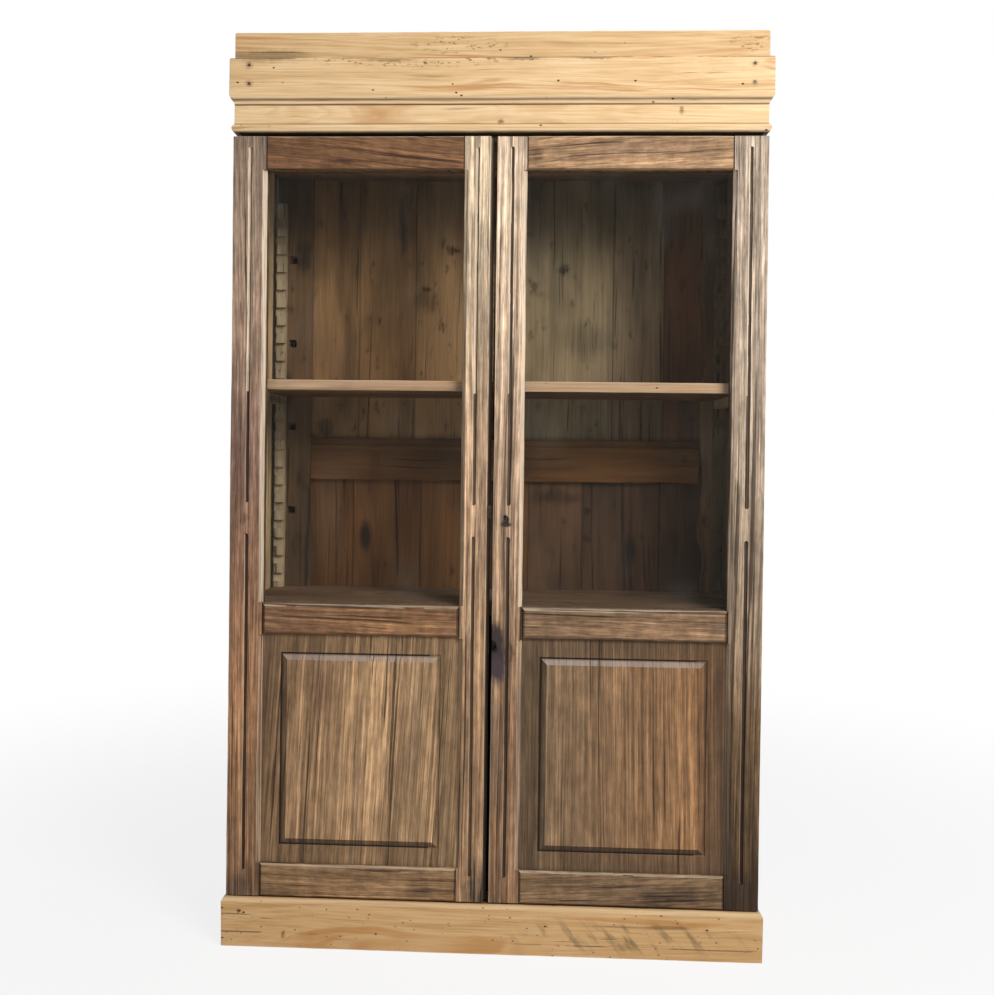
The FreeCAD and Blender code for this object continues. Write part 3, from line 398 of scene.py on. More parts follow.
veil = wood.span(wood.streak, 0.34, 0.56, 1.0, 0.45)
soiled = wood.spots(gap_shaded, wood.ragged(wood.where, 45, 0.030), veil, DOOR_SPOTS)
handled = wood.spots(soiled, wood.ragged(wood.where, 60, 0.020), veil, HAND_MARKS)
greased = wood.spots(handled, wood.ragged(wood.where, 90, 0.008), 1.0, LOCK_MARKS)
height = wood.math("SUBTRACT", figure, wood.span(wood.split, 0.59, 0.68, 0.0, 0.6))
gloss = wood.span(wood.streak, 0.35, 0.65, 0.78, 0.54)
door_wood = wood.finish(greased, gloss, height, depth=0.0009, strength=0.55, Specular_IOR_Level=0.22)
print(door_wood.name, len(door_wood.node_tree.nodes), "nodes")

# %% [markdown]
# The crown, the plinth and the shelf are newer pine, scraped back to its golden colour. Its rings are thin
# amber lines on a pale ground.

# %% Golden pine: ground and rings
PINE_GROUND = [(0.36, "bf9768"), (0.46, "d8b484"), (0.54, "e6c598"), (0.66, "f0d7b1")]

wood = Wood("golden_pine", ring_gap=0.010, knot_size=0.045, drift_reach=0.08)
figure = wood.figure(ring=0.52, streak=0.30, fibre=0.18)
tinted = wood.ramp(figure, [(at, chart(code)) for at, code in PINE_GROUND])
stained = wood.mix(1.0, tinted, wood.attribute("stain", "Color"), "MULTIPLY")
amber = wood.times(wood.span(wood.ring, 0.54, 0.62), wood.span(wood.cloud, 0.32, 0.60, 0.25, 0.85))
ringed = wood.tint(stained, amber, "b9854c")
paled = wood.tint(ringed, wood.times(wood.attribute("wear_and_light", "Fac"), 0.45), "f4dfba")
print("ground and rings", len(wood.tree.nodes), "nodes")

# %% [markdown]
# Worms have bored the pine, most of all in the plinth, and short cracks follow the grain. Slanting smudges
# lie on the right half of the plinth.

# %% Golden pine: holes, cracks and smudges
PLINTH_TOP = (0.12, 0.14)
SMUDGE_SLANT = 0.8
SMUDGE_CENTRE, SMUDGE_RADII = (0.34, -0.195, 0.055), (0.38, 0.06, 0.055)

side, _, rise = wood.axes(wood.where)
holes = wood.span(wood.cells(wood.grain, (30, 30, 20)), 0.05, 0.09, 1.0, 0.0)
low_down = wood.times(wood.span(rise, *PLINTH_TOP, 0.9, 0.0), wood.span(wood.streak, 0.42, 0.52))
bored = wood.times(wood.span(wood.cells(wood.where, (46, 46, 62)), 0.07, 0.15, 1.0, 0.0), low_down)
holes = wood.math("MAXIMUM", wood.times(holes, wood.span(wood.cloud, 0.44, 0.54)), bored)
pocked = wood.tint(paled, holes, "4a2d18")
checks = wood.times(wood.span(wood.split, 0.65, 0.69, 0.0, 0.6), wood.span(wood.cloud, 0.50, 0.62))
cracked = wood.tint(pocked, checks, "5b3a20")
knotted = wood.tint(cracked, wood.times(wood.knot, 0.85), "6a4023")
slope = wood.math("ADD", side, wood.times(rise, SMUDGE_SLANT))
brushed = wood.node("CombineXYZ", {"X": slope, "Z": rise}).outputs[0]
smudge = wood.span(wood.noise(brushed, (34, 1, 15), 3.0, 0.55), 0.49, 0.68)
soil = wood.times(smudge, wood.spot(wood.where, SMUDGE_CENTRE, SMUDGE_RADII, 0.7))
smudged = wood.tint(knotted, wood.times(soil, 0.66), "675b42")
print("holes, cracks and smudges", len(wood.tree.nodes), "nodes")

# %% [markdown]
# The rims of the fascia and of the cap are flaked. Dark lines mark the joint under the cap, the step of the
# cornice, the bead and two long cracks in the plinth. Undersides of the crown lie in deep shade.

# %% Golden pine: flaked rims and dark lines
CAP_JOINT, CORNICE_STEP, BEAD_TOP = 2.2325, 2.119, 2.0705
LEFT_CRACK, RIGHT_CRACK = 0.038, 0.029
CROWN_FOOT = (2.0, 2.03)

torn = wood.noise(wood.ragged(wood.where, 80, 0.010), (62, 62, 190), 4.0, 0.66)
flakes = wood.span(torn, 0.53, 0.60, 0.0, 0.8)
on_fascia = wood.spot(wood.where, (-0.22, -0.195, 2.231), (0.36, 0.05, 0.030), 0.6)
on_fascia = wood.times(on_fascia, wood.span(rise, 2.2300, CAP_JOINT, 1.0, 0.0))
on_cap = wood.spot(wood.where, (-0.10, -0.184, 2.266), (0.15, 0.05, 0.030), 0.6)
on_end = wood.spot(wood.where, (0.62, -0.184, 2.267), (0.075, 0.05, 0.026), 0.6)
rims = wood.math("MAXIMUM", on_fascia, wood.math("MAXIMUM", on_cap, on_end))
patchy = wood.span(wood.noise(wood.where, (26, 26, 50), 2.0, 0.5), 0.42, 0.55)
flaked = wood.tint(smudged, wood.times(flakes, wood.times(rims, patchy)), "664c31")

broken = wood.span(wood.noise(wood.where, (13, 13, 60), 3.0, 0.6), 0.42, 0.56)
upward = wood.axes(wood.node("NewGeometry", {}).outputs["Normal"])["Z"]
# The line under the cap is partly a dark joint and partly painted shade, weaker on faces that look up.
joint_shade_share = wood.span(upward, 0.4, 0.9, 0.8, 0.2)
joint = wood.times(wood.band(rise, CAP_JOINT, 0.0045), wood.times(broken, joint_shade_share))
cornice_line = wood.times(wood.band(rise, CORNICE_STEP, 0.0035), 0.75)
bead_line = wood.times(wood.band(rise, BEAD_TOP, 0.003), 0.5)
left_crack = wood.times(wood.band(rise, LEFT_CRACK, 0.0028), wood.span(side, -0.50, -0.36, 0.75, 0.0))
right_crack = wood.times(wood.band(rise, RIGHT_CRACK, 0.0026), wood.span(side, 0.02, 0.16, 0.0, 0.65))
long_cracks = wood.times(wood.math("MAXIMUM", left_crack, right_crack), broken)
lined = flaked
for line in (joint, cornice_line, bead_line, long_cracks):
    lined = wood.tint(lined, line, "5f4024")
under = wood.times(wood.span(upward, -0.9, -0.45, 0.9, 0.0), wood.span(rise, *CROWN_FOOT))
shaded = wood.tint(lined, under, "1b120b")
print("rims and lines", len(wood.tree.nodes), "nodes")

# %% [markdown]
# Last come single spots: rust around the nails, knots, and stains under the cap and on the plinth.

# %% Golden pine: spots
PINE_SPOTS = [
    ((-0.626, -0.195, 2.214), (0.014, 0.03, 0.013), 0.75, "7d5230"),
    ((-0.626, -0.195, 2.168), (0.014, 0.03, 0.013), 0.75, "7d5230"),
    ((0.626, -0.195, 2.214), (0.013, 0.03, 0.012), 0.65, "8a5f38"),
    ((0.626, -0.195, 2.168), (0.013, 0.03, 0.012), 0.65, "8a5f38"),
    ((0.005, -0.184, 2.075), (0.012, 0.03, 0.010), 0.90, "6d421f"),
    ((0.451, -0.184, 2.104), (0.009, 0.03, 0.014), 0.85, "7a4d28"),
    ((-0.590, -0.184, 2.238), (0.170, 0.03, 0.026), 0.75, "4c4028"),
    ((0.060, -0.195, 2.229), (0.070, 0.03, 0.007), 0.95, "4f3b29"),
    ((0.235, -0.195, 2.229), (0.060, 0.03, 0.006), 0.80, "5a4430"),
    ((-0.270, -0.195, 2.227), (0.090, 0.03, 0.008), 0.75, "6a5138"),
    ((-0.517, -0.195, 0.035), (0.008, 0.03, 0.014), 0.95, "553418"),
    ((-0.630, -0.195, 0.092), (0.009, 0.03, 0.007), 1.00, "3c2413"),
]

veil = wood.span(wood.streak, 0.34, 0.60, 1.0, 0.6)
spotted = wood.spots(shaded, wood.ragged(wood.where, 70, 0.014), veil, PINE_SPOTS)
height = wood.math("SUBTRACT", figure, wood.math("ADD", checks, wood.times(holes, 0.8)))
gloss = wood.span(wood.streak, 0.35, 0.65, 0.72, 0.56)
golden_pine = wood.finish(spotted, gloss, height, depth=0.0008, strength=0.45, Specular_IOR_Level=0.22)
print(golden_pine.name, len(golden_pine.node_tree.nodes), "nodes")

# %% [markdown]
# Inside and behind, the wood was never cleaned. Broad planks have gone brown and olive, with dark knots,
# water stains that run down from the top and soot in every seam. Painted shade darkens the back under the ceiling.

# %% Case wood: stain, soot and painted shade
TOP_SHADE_RISE, TOP_SHADE_START = (1.70, 2.02), (0.10, 0.15)

wood = Wood("dark_case_wood", ring_gap=0.018, knot_size=0.11)
figure = wood.figure(ring=0.50, streak=0.32, fibre=0.18)
stain = wood.attribute("stain", "Color")
striped = wood.shade(stain, figure, [(0.36, 0.32), (0.46, 0.44), (0.54, 0.54), (0.66, 0.70)])
clouded = wood.shade(striped, wood.cloud, [(0.30, 0.30), (0.50, 0.50), (0.70, 0.64)])
runs = wood.span(wood.noise(wood.where, (9, 9, 1.3), 4.0, 0.6), 0.52, 0.70, 0.0, 0.5)
watered = wood.tint(clouded, runs, "2a1e14")
blots = wood.span(wood.noise(wood.where, (36, 36, 22), 4.0, 0.62), 0.58, 0.72, 0.0, 0.6)
blotted = wood.tint(watered, blots, "2c1c10")
_, inward, rise = wood.axes(wood.where)
# Painted shade on the back, under the ceiling.
top_shade = wood.times(wood.span(rise, *TOP_SHADE_RISE, 0.0, 0.55), wood.span(inward, *TOP_SHADE_START))
top_shaded = wood.tint(blotted, top_shade, "17100b")
knotted = wood.tint(top_shaded, wood.times(wood.knot, 0.88), "1d120b")
cracked = wood.tint(knotted, wood.span(wood.split, 0.63, 0.68, 0.0, 0.7), "1b120c")
sooty_and_shaded = wood.tint(cracked, wood.attribute("soot_and_shade", "Fac"), "18110c")
print("stain and soot", len(wood.tree.nodes), "nodes")

# %% [markdown]
# Big knots and damp patches have their places on the back. Sharper shadows lie along one crack in the middle,
# in front of the left rear rack and inside the four square holes of the left post.

# %% Case wood: knots, patches and shadows
CASE_SPOTS = [
    ((0.183, 0.175, 1.776), (0.022, 0.06, 0.020), 1.00, "17100b"),
    ((0.254, 0.175, 1.088), (0.018, 0.06, 0.018), 1.00, "17100b"),
    ((0.255, 0.175, 1.011), (0.018, 0.06, 0.020), 1.00, "17100b"),
    ((-0.127, 0.175, 1.831), (0.030, 0.06, 0.016), 1.00, "1a110b"),
    ((-0.276, 0.175, 1.905), (0.020, 0.06, 0.140), 0.85, "1d150e"),
    ((-0.495, 0.175, 1.320), (0.034, 0.06, 0.040), 0.95, "171009"),
    ((-0.345, 0.175, 1.625), (0.016, 0.06, 0.018), 0.85, "2b1a10"),
    ((-0.212, 0.175, 1.717), (0.016, 0.06, 0.014), 0.90, "23160d"),
    ((-0.205, 0.175, 1.685), (0.050, 0.06, 0.045), 0.50, "3a2516"),
    ((0.250, 0.175, 1.575), (0.120, 0.06, 0.075), 0.55, "201912"),
    ((0.170, 0.175, 1.130), (0.120, 0.06, 0.030), 0.65, "1a130e"),
    ((-0.555, 0.153, 1.800), (0.036, 0.03, 0.065), 0.95, "1d1712"),
]
HOLE_HEIGHTS = (1.085, 1.322, 1.559, 1.796)
CASE_SHADOWS = [
    ((-0.010, 0.185, 1.450), (0.010, 0.024, 1.000), 1.50, "0f0a07"),
    ((-0.630, 0.116, 1.410), (0.006, 0.032, 1.600), 1.20, "1e150d"),
] + [((-0.585, 0.182, level), (0.018, 0.022, 0.018), 1.60, "0a0705") for level in HOLE_HEIGHTS]

veil = wood.span(wood.streak, 0.34, 0.60, 1.0, 0.6)
spotted = wood.spots(sooty_and_shaded, wood.ragged(wood.where, 28, 0.050), veil, CASE_SPOTS)
shadowed = wood.spots(spotted, wood.ragged(wood.where, 60, 0.006), 1.0, CASE_SHADOWS)
height = wood.math("SUBTRACT", figure, wood.span(wood.split, 0.60, 0.69, 0.0, 0.8))
gloss = wood.span(wood.streak, 0.35, 0.65, 0.85, 0.68)
case_wood = wood.finish(shadowed, gloss, height, depth=0.0010, strength=0.5, Specular_IOR_Level=0.18)
print(case_wood.name, len(case_wood.node_tree.nodes), "nodes")

# %% [markdown]
# The panes are old drawn glass. Light goes straight through such a thin sheet, so a transparent shader with
# a little gloss on top is quicker and cleaner than real refraction. The gloss grows where the sheet is seen
# edge on, and Layer Weight gives that angle alike on both faces. Dust and wiped streaks catch some light.

# %% Glass
GLASS_TINT = (0.955, 0.965, 0.95, 1)
GLOSS_STEEP, GLOSS_MOST, GLOSS_LEAST = 4.0, 0.5, 0.004

glass = Finish("old_glass")
where = glass.place()
wiped = glass.noise(where, (7, 7, 4.2), 5.0, 0.62)
film = glass.span(wiped, 0.50, 0.74, 0.003, 0.028)
ripple = glass.noise(where, (5, 5, 2.2), 1.0, 0.4)
bump = glass.node("Bump", {"Height": ripple, "Strength": 0.25, "Distance": 0.004}).outputs["Normal"]
clear = glass.node("BsdfTransparent", {"Color": GLASS_TINT})
shine = glass.node("BsdfGlossy", {"Color": WHITE, "Roughness": 0.04, "Normal": bump})
edge_on = glass.node("LayerWeight", {"Blend": 0.5, "Normal": bump}).outputs["Facing"]
mirror = glass.math("ADD", glass.times(glass.math("POWER", edge_on, GLOSS_STEEP), GLOSS_MOST), GLOSS_LEAST)
sheet = glass.node("MixShader", {0: mirror, 1: clear.outputs[0], 2: shine.outputs[0]})
dust = glass.node("BsdfDiffuse", {"Color": chart("b9b2a4"), "Roughness": 0.5})
pane = glass.node("MixShader", {0: film, 1: sheet.outputs[0], 2: dust.outputs[0]})
glass.node("OutputMaterial", {"Surface": pane.outputs[0]})
old_glass = glass.material
print(old_glass.name, len(old_glass.node_tree.nodes), "nodes")

# %% [markdown]
# Nails, pins, lock and bolts are forged iron that has gone nearly black, with brown rust in the pits.

# %% Iron
IRON_TONES = [(0.35, "2a2725"), (0.52, "4c4844"), (0.70, "6b6660")]

iron = Finish("dark_iron")
where = iron.place()
pits = iron.noise(where, (160, 160, 160), 4.0, 0.65)
rust = iron.noise(where, (45, 45, 45), 3.0, 0.6)
bare = iron.ramp(pits, [(at, chart(code)) for at, code in IRON_TONES])
rusty = iron.tint(bare, iron.span(rust, 0.42, 0.60, 0.1, 0.85), "452919")
gloss = iron.span(rust, 0.45, 0.65, 0.42, 0.75)
dark_iron = iron.finish(rusty, gloss, pits, depth=0.0004, strength=0.6, Metallic=0.45)
print(dark_iron.name, len(dark_iron.node_tree.nodes), "nodes")

# %% [markdown]
# No edge on the cabinet is still sharp or quite straight. A copy of each wooden solid is merged and its long
# edges are bevelled.

# %% A copy with eased edges
SHARP, FLAT = math.radians(30), math.radians(0.5)
SAME_PLACE = 0.00001
LONG = 0.03
DOOR_FACE = -0.1845


def merged_copy(node):
    """A merged copy of a node's mesh, alone in the selection."""
    bpy.ops.object.select_all(action="DESELECT")
    piece = bpy.data.objects.new("aged_" + node, frame["nodes"][node].data.copy())
    bpy.context.scene.collection.objects.link(piece)
    piece.select_set(True)
    bpy.context.view_layer.objects.active = piece
    bpy.ops.object.mode_set(mode="EDIT")
    bpy.ops.mesh.select_all(action="SELECT")
    bpy.ops.mesh.customdata_custom_splitnormals_clear()
    bpy.ops.mesh.remove_doubles(threshold=SAME_PLACE)
    bpy.ops.mesh.dissolve_limited(angle_limit=FLAT)
    bpy.ops.object.mode_set(mode="OBJECT")
    return piece


def long_edge(one, other):
    return (one - other).length > LONG


def front_edge(one, other):
    """A long edge in the front face of the doors."""
    return long_edge(one, other) and max(one.y, other.y) < DOOR_FACE


def ease_edges(piece, width, wanted, segments):
    """Bevel the sharp edges whose two ends pass the test."""
    bpy.context.tool_settings.mesh_select_mode = (False, True, False)
    bpy.ops.object.mode_set(mode="EDIT")
    bpy.ops.mesh.select_all(action="DESELECT")
    bpy.ops.mesh.edges_select_sharp(sharpness=SHARP)
    bpy.ops.object.mode_set(mode="OBJECT")
    mesh = piece.data
    ends = [(e, *(mesh.vertices[v].co for v in e.vertices)) for e in mesh.edges if e.select]
    chosen = [e.index for e, one, other in ends if wanted(one, other)]
    for group in (mesh.vertices, mesh.edges, mesh.polygons):
        group.foreach_set("select", [False] * len(group))
    for index in chosen:
        mesh.edges[index].select = True
        for v in mesh.edges[index].vertices:
            mesh.vertices[v].select = True
    bpy.ops.object.mode_set(mode="EDIT")
    bpy.ops.mesh.bevel(offset=width, segments=segments, affect="EDGES", clamp_overlap=False)
    bpy.ops.object.mode_set(mode="OBJECT")


print("edges longer than", LONG, "are eased")

# %% [markdown]
# The copy is sliced across its length, so that two soft noises can push it about by a millimetre. The noise
# depends on the place alone, so neighbours move together and joints stay closed. Two pieces need more: the
# bark side of a log waves in and out, and the planks of the back swell until their seams let no light through.

# %% Crooked boards
AXES = {"X": Vector((1, 0, 0)), "Y": Vector((0, 1, 0)), "Z": Vector((0, 0, 1))}
BARK_DEPTH = 0.006


def cloud_texture(name, size):
    texture = bpy.data.textures.new(name, "CLOUDS")
    texture.cloud_type = "COLOR"
    texture.noise_scale = size
    return texture


bow = cloud_texture("slow_bow", 0.35)
dents = cloud_texture("small_dents", 0.045)
bark = cloud_texture("bark_side", 0.16)


def slice_across(piece, along, step):
    """Cut a board every step of its length, which gives the noise something to move."""
    places = [v.co.dot(AXES[along]) for v in piece.data.vertices]
    low, high = min(places), max(places)
    bpy.ops.object.mode_set(mode="EDIT")
    for number in range(1, int((high - low) / step)):
        bpy.ops.mesh.select_all(action="SELECT")
        bpy.ops.mesh.bisect(plane_co=AXES[along] * (low + number * step), plane_no=AXES[along])
    bpy.ops.object.mode_set(mode="OBJECT")


def push_about(piece, texture, amount):
    """Move a piece by a coloured noise, each colour along an axis of its own."""
    if amount == 0:
        return
    push = piece.modifiers.new("push", "DISPLACE")
    push.texture = texture
    push.texture_coords = "LOCAL"
    push.direction = "RGB_TO_XYZ"
    push.strength = amount
    bpy.ops.object.modifier_apply(modifier=push.name)


def wavy_edge(piece, across, reach):
    """Push the first edge of a board in and out, as the bark side of a log runs."""
    places = [v.co.dot(AXES[across]) for v in piece.data.vertices]
    side = piece.vertex_groups.new(name="bark_side")
    limit = min(places) + BARK_DEPTH
    side.add([number for number, place in enumerate(places) if place < limit], 1.0, "ADD")
    wave = piece.modifiers.new("wave", "DISPLACE")
    wave.texture = bark
    wave.texture_coords = "LOCAL"
    wave.direction = across
    wave.vertex_group = side.name
    wave.strength = reach
    bpy.ops.object.modifier_apply(modifier=wave.name)


def close_seams(piece, growth):
    """Grow loose boards along their normals until neighbours touch, so no light comes through."""
    bpy.ops.object.mode_set(mode="EDIT")
    bpy.ops.mesh.select_all(action="SELECT")
    bpy.ops.transform.shrink_fatten(value=growth)
    bpy.ops.object.mode_set(mode="OBJECT")


print("noises", [t.name for t in (bow, dents, bark)])

# %% [markdown]
# Each board then gets its grain coordinates and a stain, which may change along an axis. A node such as the
# back holds several loose boards, so loose parts are found first and each one is cut from a tree of its own.

# %% Grain and stain
GRAIN_ORDER = {"X": (2, 1, 0), "Y": (0, 2, 1), "Z": (0, 1, 2)}
HEART_FROM, HEART_TO = (-0.22, 0.05, -6), (0.22, 0.30, 6)


def loose_boards(mesh):
    """The number of the loose part that each vertex belongs to."""
    ends = np.empty(len(mesh.edges) * 2, int)
    mesh.edges.foreach_get("vertices", ends)
    one, other = ends.reshape(-1, 2).T
    label = np.arange(len(mesh.vertices))
    while True:
        low = np.minimum(label[one], label[other])
        fresh = label.copy()
        np.minimum.at(fresh, one, low)
        np.minimum.at(fresh, other, low)
        fresh = fresh[fresh]
        if (fresh == label).all():
            return np.unique(label, return_inverse=True)[1]
        label = fresh


def mark_boards(piece, along, tones, seed, boards, heart, squash, stretch, calm):
    """Write grain and stain. Tones are one colour, or stops along an axis; boards are shades from left to right."""
    mesh = piece.data
    draw = np.random.default_rng(seed)
    place = np.empty(len(mesh.vertices) * 3)
    mesh.vertices.foreach_get("co", place)
    place = place.reshape(-1, 3)
    axis, stops = ("Z", [(0, tones)]) if isinstance(tones, str) else tones
    channels = np.array([chart(code) for _, code in stops]).T
    stain = np.stack([np.interp(place[:, "XYZ".index(axis)], [at for at, _ in stops], c) for c in channels], 1)
    board = loose_boards(mesh)
    grain = place[:, GRAIN_ORDER[along]].copy()
    in_order = np.argsort([place[board == number, 0].mean() for number in range(board.max() + 1)])
    for rank, number in enumerate(in_order):
        mine = board == number
        grain[mine] -= grain[mine].mean(0)
        grain[mine] *= (1, squash, 1)
        beside = draw.uniform(HEART_FROM, HEART_TO)
        if heart:
            grain[mine, 0] += heart[2] * grain[mine, 2]
            beside[:2] = heart[:2]
        grain[mine] = grain[mine] * (1, 1, stretch) + beside
        if boards:
            stain[mine] = chart(boards[rank])
    mesh.attributes.new("grain", "FLOAT_VECTOR", "POINT").data.foreach_set("vector", grain.ravel())
    mesh.attributes.new("stain", "FLOAT_COLOR", "POINT").data.foreach_set("color", stain.ravel())
    mesh.attributes.new("calm", "FLOAT", "POINT").data.foreach_set("value", np.full(len(place), calm))


print("grain runs along", list(GRAIN_ORDER))

# %% [markdown]
# Wear, soot and dust go on the slanted faces of bevels and fields, and on the beds of the flutes in the
# stiles. On the doors the wear also holds painted highlights on faces turned to the light, the soot holds painted
# shade on faces turned away from it, and the dust on the top slopes of the fields is partly a painted highlight.
# Each kind of board has a rule that looks at a face's centre and normal and gives the three shares.

# %% Rules for wear, soot, dust and painted light
WEAR_LIMIT = 0.97
FLUTE_INSET = 0.018
FLUTE_BED, FLUTE_FLOOR = -0.1825, -0.177
INNER_EDGES = (0.065, 0.592)
RAIL_HEIGHTS = ((0.125, 0.209), (0.787, 0.867), (1.957, 2.040))
MIDDLE_RAIL_TOP = RAIL_HEIGHTS[1][1]
FLUTE_LIGHT_HEIGHT = 1.40
SHOULDER_SLANT, FIELD_SLANT = 0.15, 0.3


def edge_marks(centre, normal, box):
    """Pale wear on every slanted face."""
    return (0.6, 0.0, 0.0)


def stile_marks(centre, normal, box):
    """Flutes with a painted highlight on the walls turned to the right, wider and paler above the flute light height,
    and painted shade on the rest; inner bevels with painted shade beside the rails and a painted highlight where they
    face right; pale wear on other slanted faces.
    """
    from_edge = min(centre.x - box[0].x, box[1].x - centre.x)
    if from_edge > FLUTE_INSET and centre.y < FLUTE_FLOOR:
        pale, steep = 0.60, 0.75
        if centre.z > FLUTE_LIGHT_HEIGHT:
            pale, steep = 0.95, -0.30 if centre.x < 0 else 0.30
        return (pale, 0.0, 0.0) if normal.x > steep else (0.0, 0.9, 0.0)
    inner = INNER_EDGES[0] < abs(centre.x) < INNER_EDGES[1]
    if inner and any(low < centre.z < high for low, high in RAIL_HEIGHTS):
        return (0.0, 0.8, 0.0)
    if inner:
        pale = 0.7 if centre.z > MIDDLE_RAIL_TOP else 0.25
        return (pale, 0.0, 0.0) if normal.x > 0 else (0.12, 0.12, 0.0)
    return (0.5, 0.0, 0.0)


def rail_marks(centre, normal, box):
    """Painted shade on the shoulders and undersides; pale top edges, worn and with a painted highlight."""
    if abs(normal.x) > SHOULDER_SLANT:
        return (0.0, 0.75, 0.0)
    return (0.4, 0.0, 0.0) if normal.z > 0 else (0.0, 0.55, 0.0)


def panel_marks(centre, normal, box):
    """Dust and a painted highlight on the top slope of the field, painted shade on the lower and left ones, a trace of
    painted shade on the right one.
    """
    if normal.z > FIELD_SLANT:
        return (0.0, 0.0, 0.75)
    if normal.z < -FIELD_SLANT:
        return (0.0, 0.8, 0.0)
    return (0.0, 0.70, 0.0) if normal.x < -FIELD_SLANT else (0.0, 0.12, 0.0)


def seam_marks(centre, normal, box):
    """Soot in every seam."""
    return (0.0, 0.5, 0.0)


def mark_faces(piece, rule):
    """Write wear and painted highlights, soot and painted shade, and dust to the slanted faces and the beds of the
    flutes.
    """
    mesh = piece.data
    places = [v.co for v in mesh.vertices]
    box = [Vector(map(limit, zip(*places))) for limit in (min, max)]
    marks = np.zeros((len(mesh.polygons), 3))
    for face in mesh.polygons:
        slanted = max(abs(n) for n in face.normal) < WEAR_LIMIT
        bed = rule is stile_marks and face.normal.y < 0 and FLUTE_BED < face.center.y < FLUTE_FLOOR
        if slanted or bed:
            marks[face.index] = rule(face.center, face.normal, box)
    for name, values in zip(("wear_and_light", "soot_and_shade", "dust"), marks.T):
        mesh.attributes.new(name, "FLOAT", "FACE").data.foreach_set("value", values.copy())


print("rules", [rule.__name__ for rule in (edge_marks, stile_marks, rail_marks, panel_marks, seam_marks)])

# %% [markdown]
# One call takes a node through all of this. The piece then stands for its node and rides on the node's body.

# %% From node to aged piece
SOFT = math.radians(20)
made = []


def dress(piece, node, material):
    """Paint a piece, let it stand for its node and ride on the node's body."""
    bpy.ops.object.shade_smooth_by_angle(angle=SOFT)
    piece.data.materials.clear()
    piece.data.materials.append(material)
    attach(piece, body_of_node[node])
    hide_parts(node)


def age(node, along, material, tones, arris, step=0.03, bowing=0.0016, denting=0.0012, boards=None,
        heart=None, squash=1.0, stretch=1.0, calm=0.0, marks=edge_marks, wanted=long_edge, segments=2):
    """An old board: eased by the arris, sliced by the step, bowed, dented, marked and dressed."""
    piece = merged_copy(node)
    ease_edges(piece, arris, wanted, segments)
    slice_across(piece, along, step)
    push_about(piece, bow, bowing)
    push_about(piece, dents, denting)
    mark_boards(piece, along, tones, len(made) + 1, boards, heart, squash, stretch, calm)
    mark_faces(piece, marks)
    dress(piece, node, material)
    made.append(piece)
    return piece


# %% [markdown]
# First the two doors. Stiles are sliced finely, because their long flutes and bevels show best in raking
# light. The middle rails have thick, soft edges from years of hands, so their front edges get a wider bevel.
# A rail's row gives its shade, its arris, the heart of its tree and its calm.

# %% Doors
DOOR_STEP = 0.025
STILE_HEIGHTS = (0.20, 0.60, 1.20, 1.75)
# The stiles are mostly lighter towards their tops: partly the wood's own tone, partly painted light falling from
# above.
STILES = {
    "left_hinge_stile": ("8e6b4e", "a97d5a", "7d6051", "937c69"),
    "left_meeting_stile": ("9d7c5d", "a17f5f", "d0ab89", "d3bb9d"),
    "right_meeting_stile": ("82644a", "8c6b4f", "bb9c80", "d3b99e"),
    "right_hinge_stile": ("41301d", "69523a", "b39e88", "b9a591"),
}
RAILS = {
    "left_top_rail": ("79563a", 0.0025, (0.012, 0.030, 0.10), 0.45),
    "right_top_rail": ("a58261", 0.0025, (-0.015, 0.032, -0.08), 0.45),
    "left_middle_rail": ("7d5b3f", 0.007, (0.06, 0.05, 0.03), 0.3),
    "right_middle_rail": ("7a6048", 0.007, None, 0.2),
    "left_bottom_rail": ("947352", 0.005, None, 0.3),
    "right_bottom_rail": ("81664b", 0.005, (0.03, 0.04, -0.06), 0.3),
}
LEFT_FIELD = ("X", [(-0.57, "9b7a5a"), (-0.50, "a98562"), (-0.35, "b08b68"), (-0.15, "b5926c")])
RIGHT_FIELD = ("X", [(0.13, "836a50"), (0.30, "84674e"), (0.44, "835f43"), (0.49, "a0754c"), (0.56, "80624a")])
PANELS = {"left_panel": (LEFT_FIELD, (0.42, 0.22, -0.05), 0.2), "right_panel": (RIGHT_FIELD, (-0.36, 0.20, 0.0), 0.35)}

for node, shades in STILES.items():
    age(node, "Z", door_wood, ("Z", list(zip(STILE_HEIGHTS, shades))), arris=0.0016, step=DOOR_STEP,
        stretch=0.55, marks=stile_marks)
for node, (shade, arris, heart, calm) in RAILS.items():
    age(node, "X", door_wood, shade, arris, DOOR_STEP, heart=heart, calm=calm, segments=3,
        marks=rail_marks, wanted=front_edge)
for node, (tones, heart, calm) in PANELS.items():
    age(node, "Z", door_wood, tones, arris=0.0006, heart=heart, squash=0.1, stretch=0.4, calm=calm,
        marks=panel_marks)
for node in ("left_glazing_beads", "right_glazing_beads"):
    age(node, "Z", door_wood, "80654c", arris=0.001)
print("door pieces", len(made))

# %% [markdown]
# The crown, the plinth and the shelf are pine boards. Fronts run across the picture and returns run to the
# back. The shelf is darker below than on its front edge and on top: painted shade on its underside.

# %% Crown, plinth and shelf
PINE_STEP = 0.02
# The plinth is stained a little darker than the crown, partly painted shade of the light that weakens towards the
# floor.
PINE_BOARDS = {"plinth": ("ebe2d4", 0.003), "frieze": ("ffffff", 0.0015), "bead": ("ffffff", 0.0012),
               "cornice": ("ffffff", 0.0025), "cap": ("f4f2ee", 0.003)}
# The dark tone below is painted shade on the shelf's underside.
SHELF_TONES_AND_UNDERSIDE_SHADE = ("Z", [(1.4083, "6b5a50"), (1.4096, "e2d8e9")])

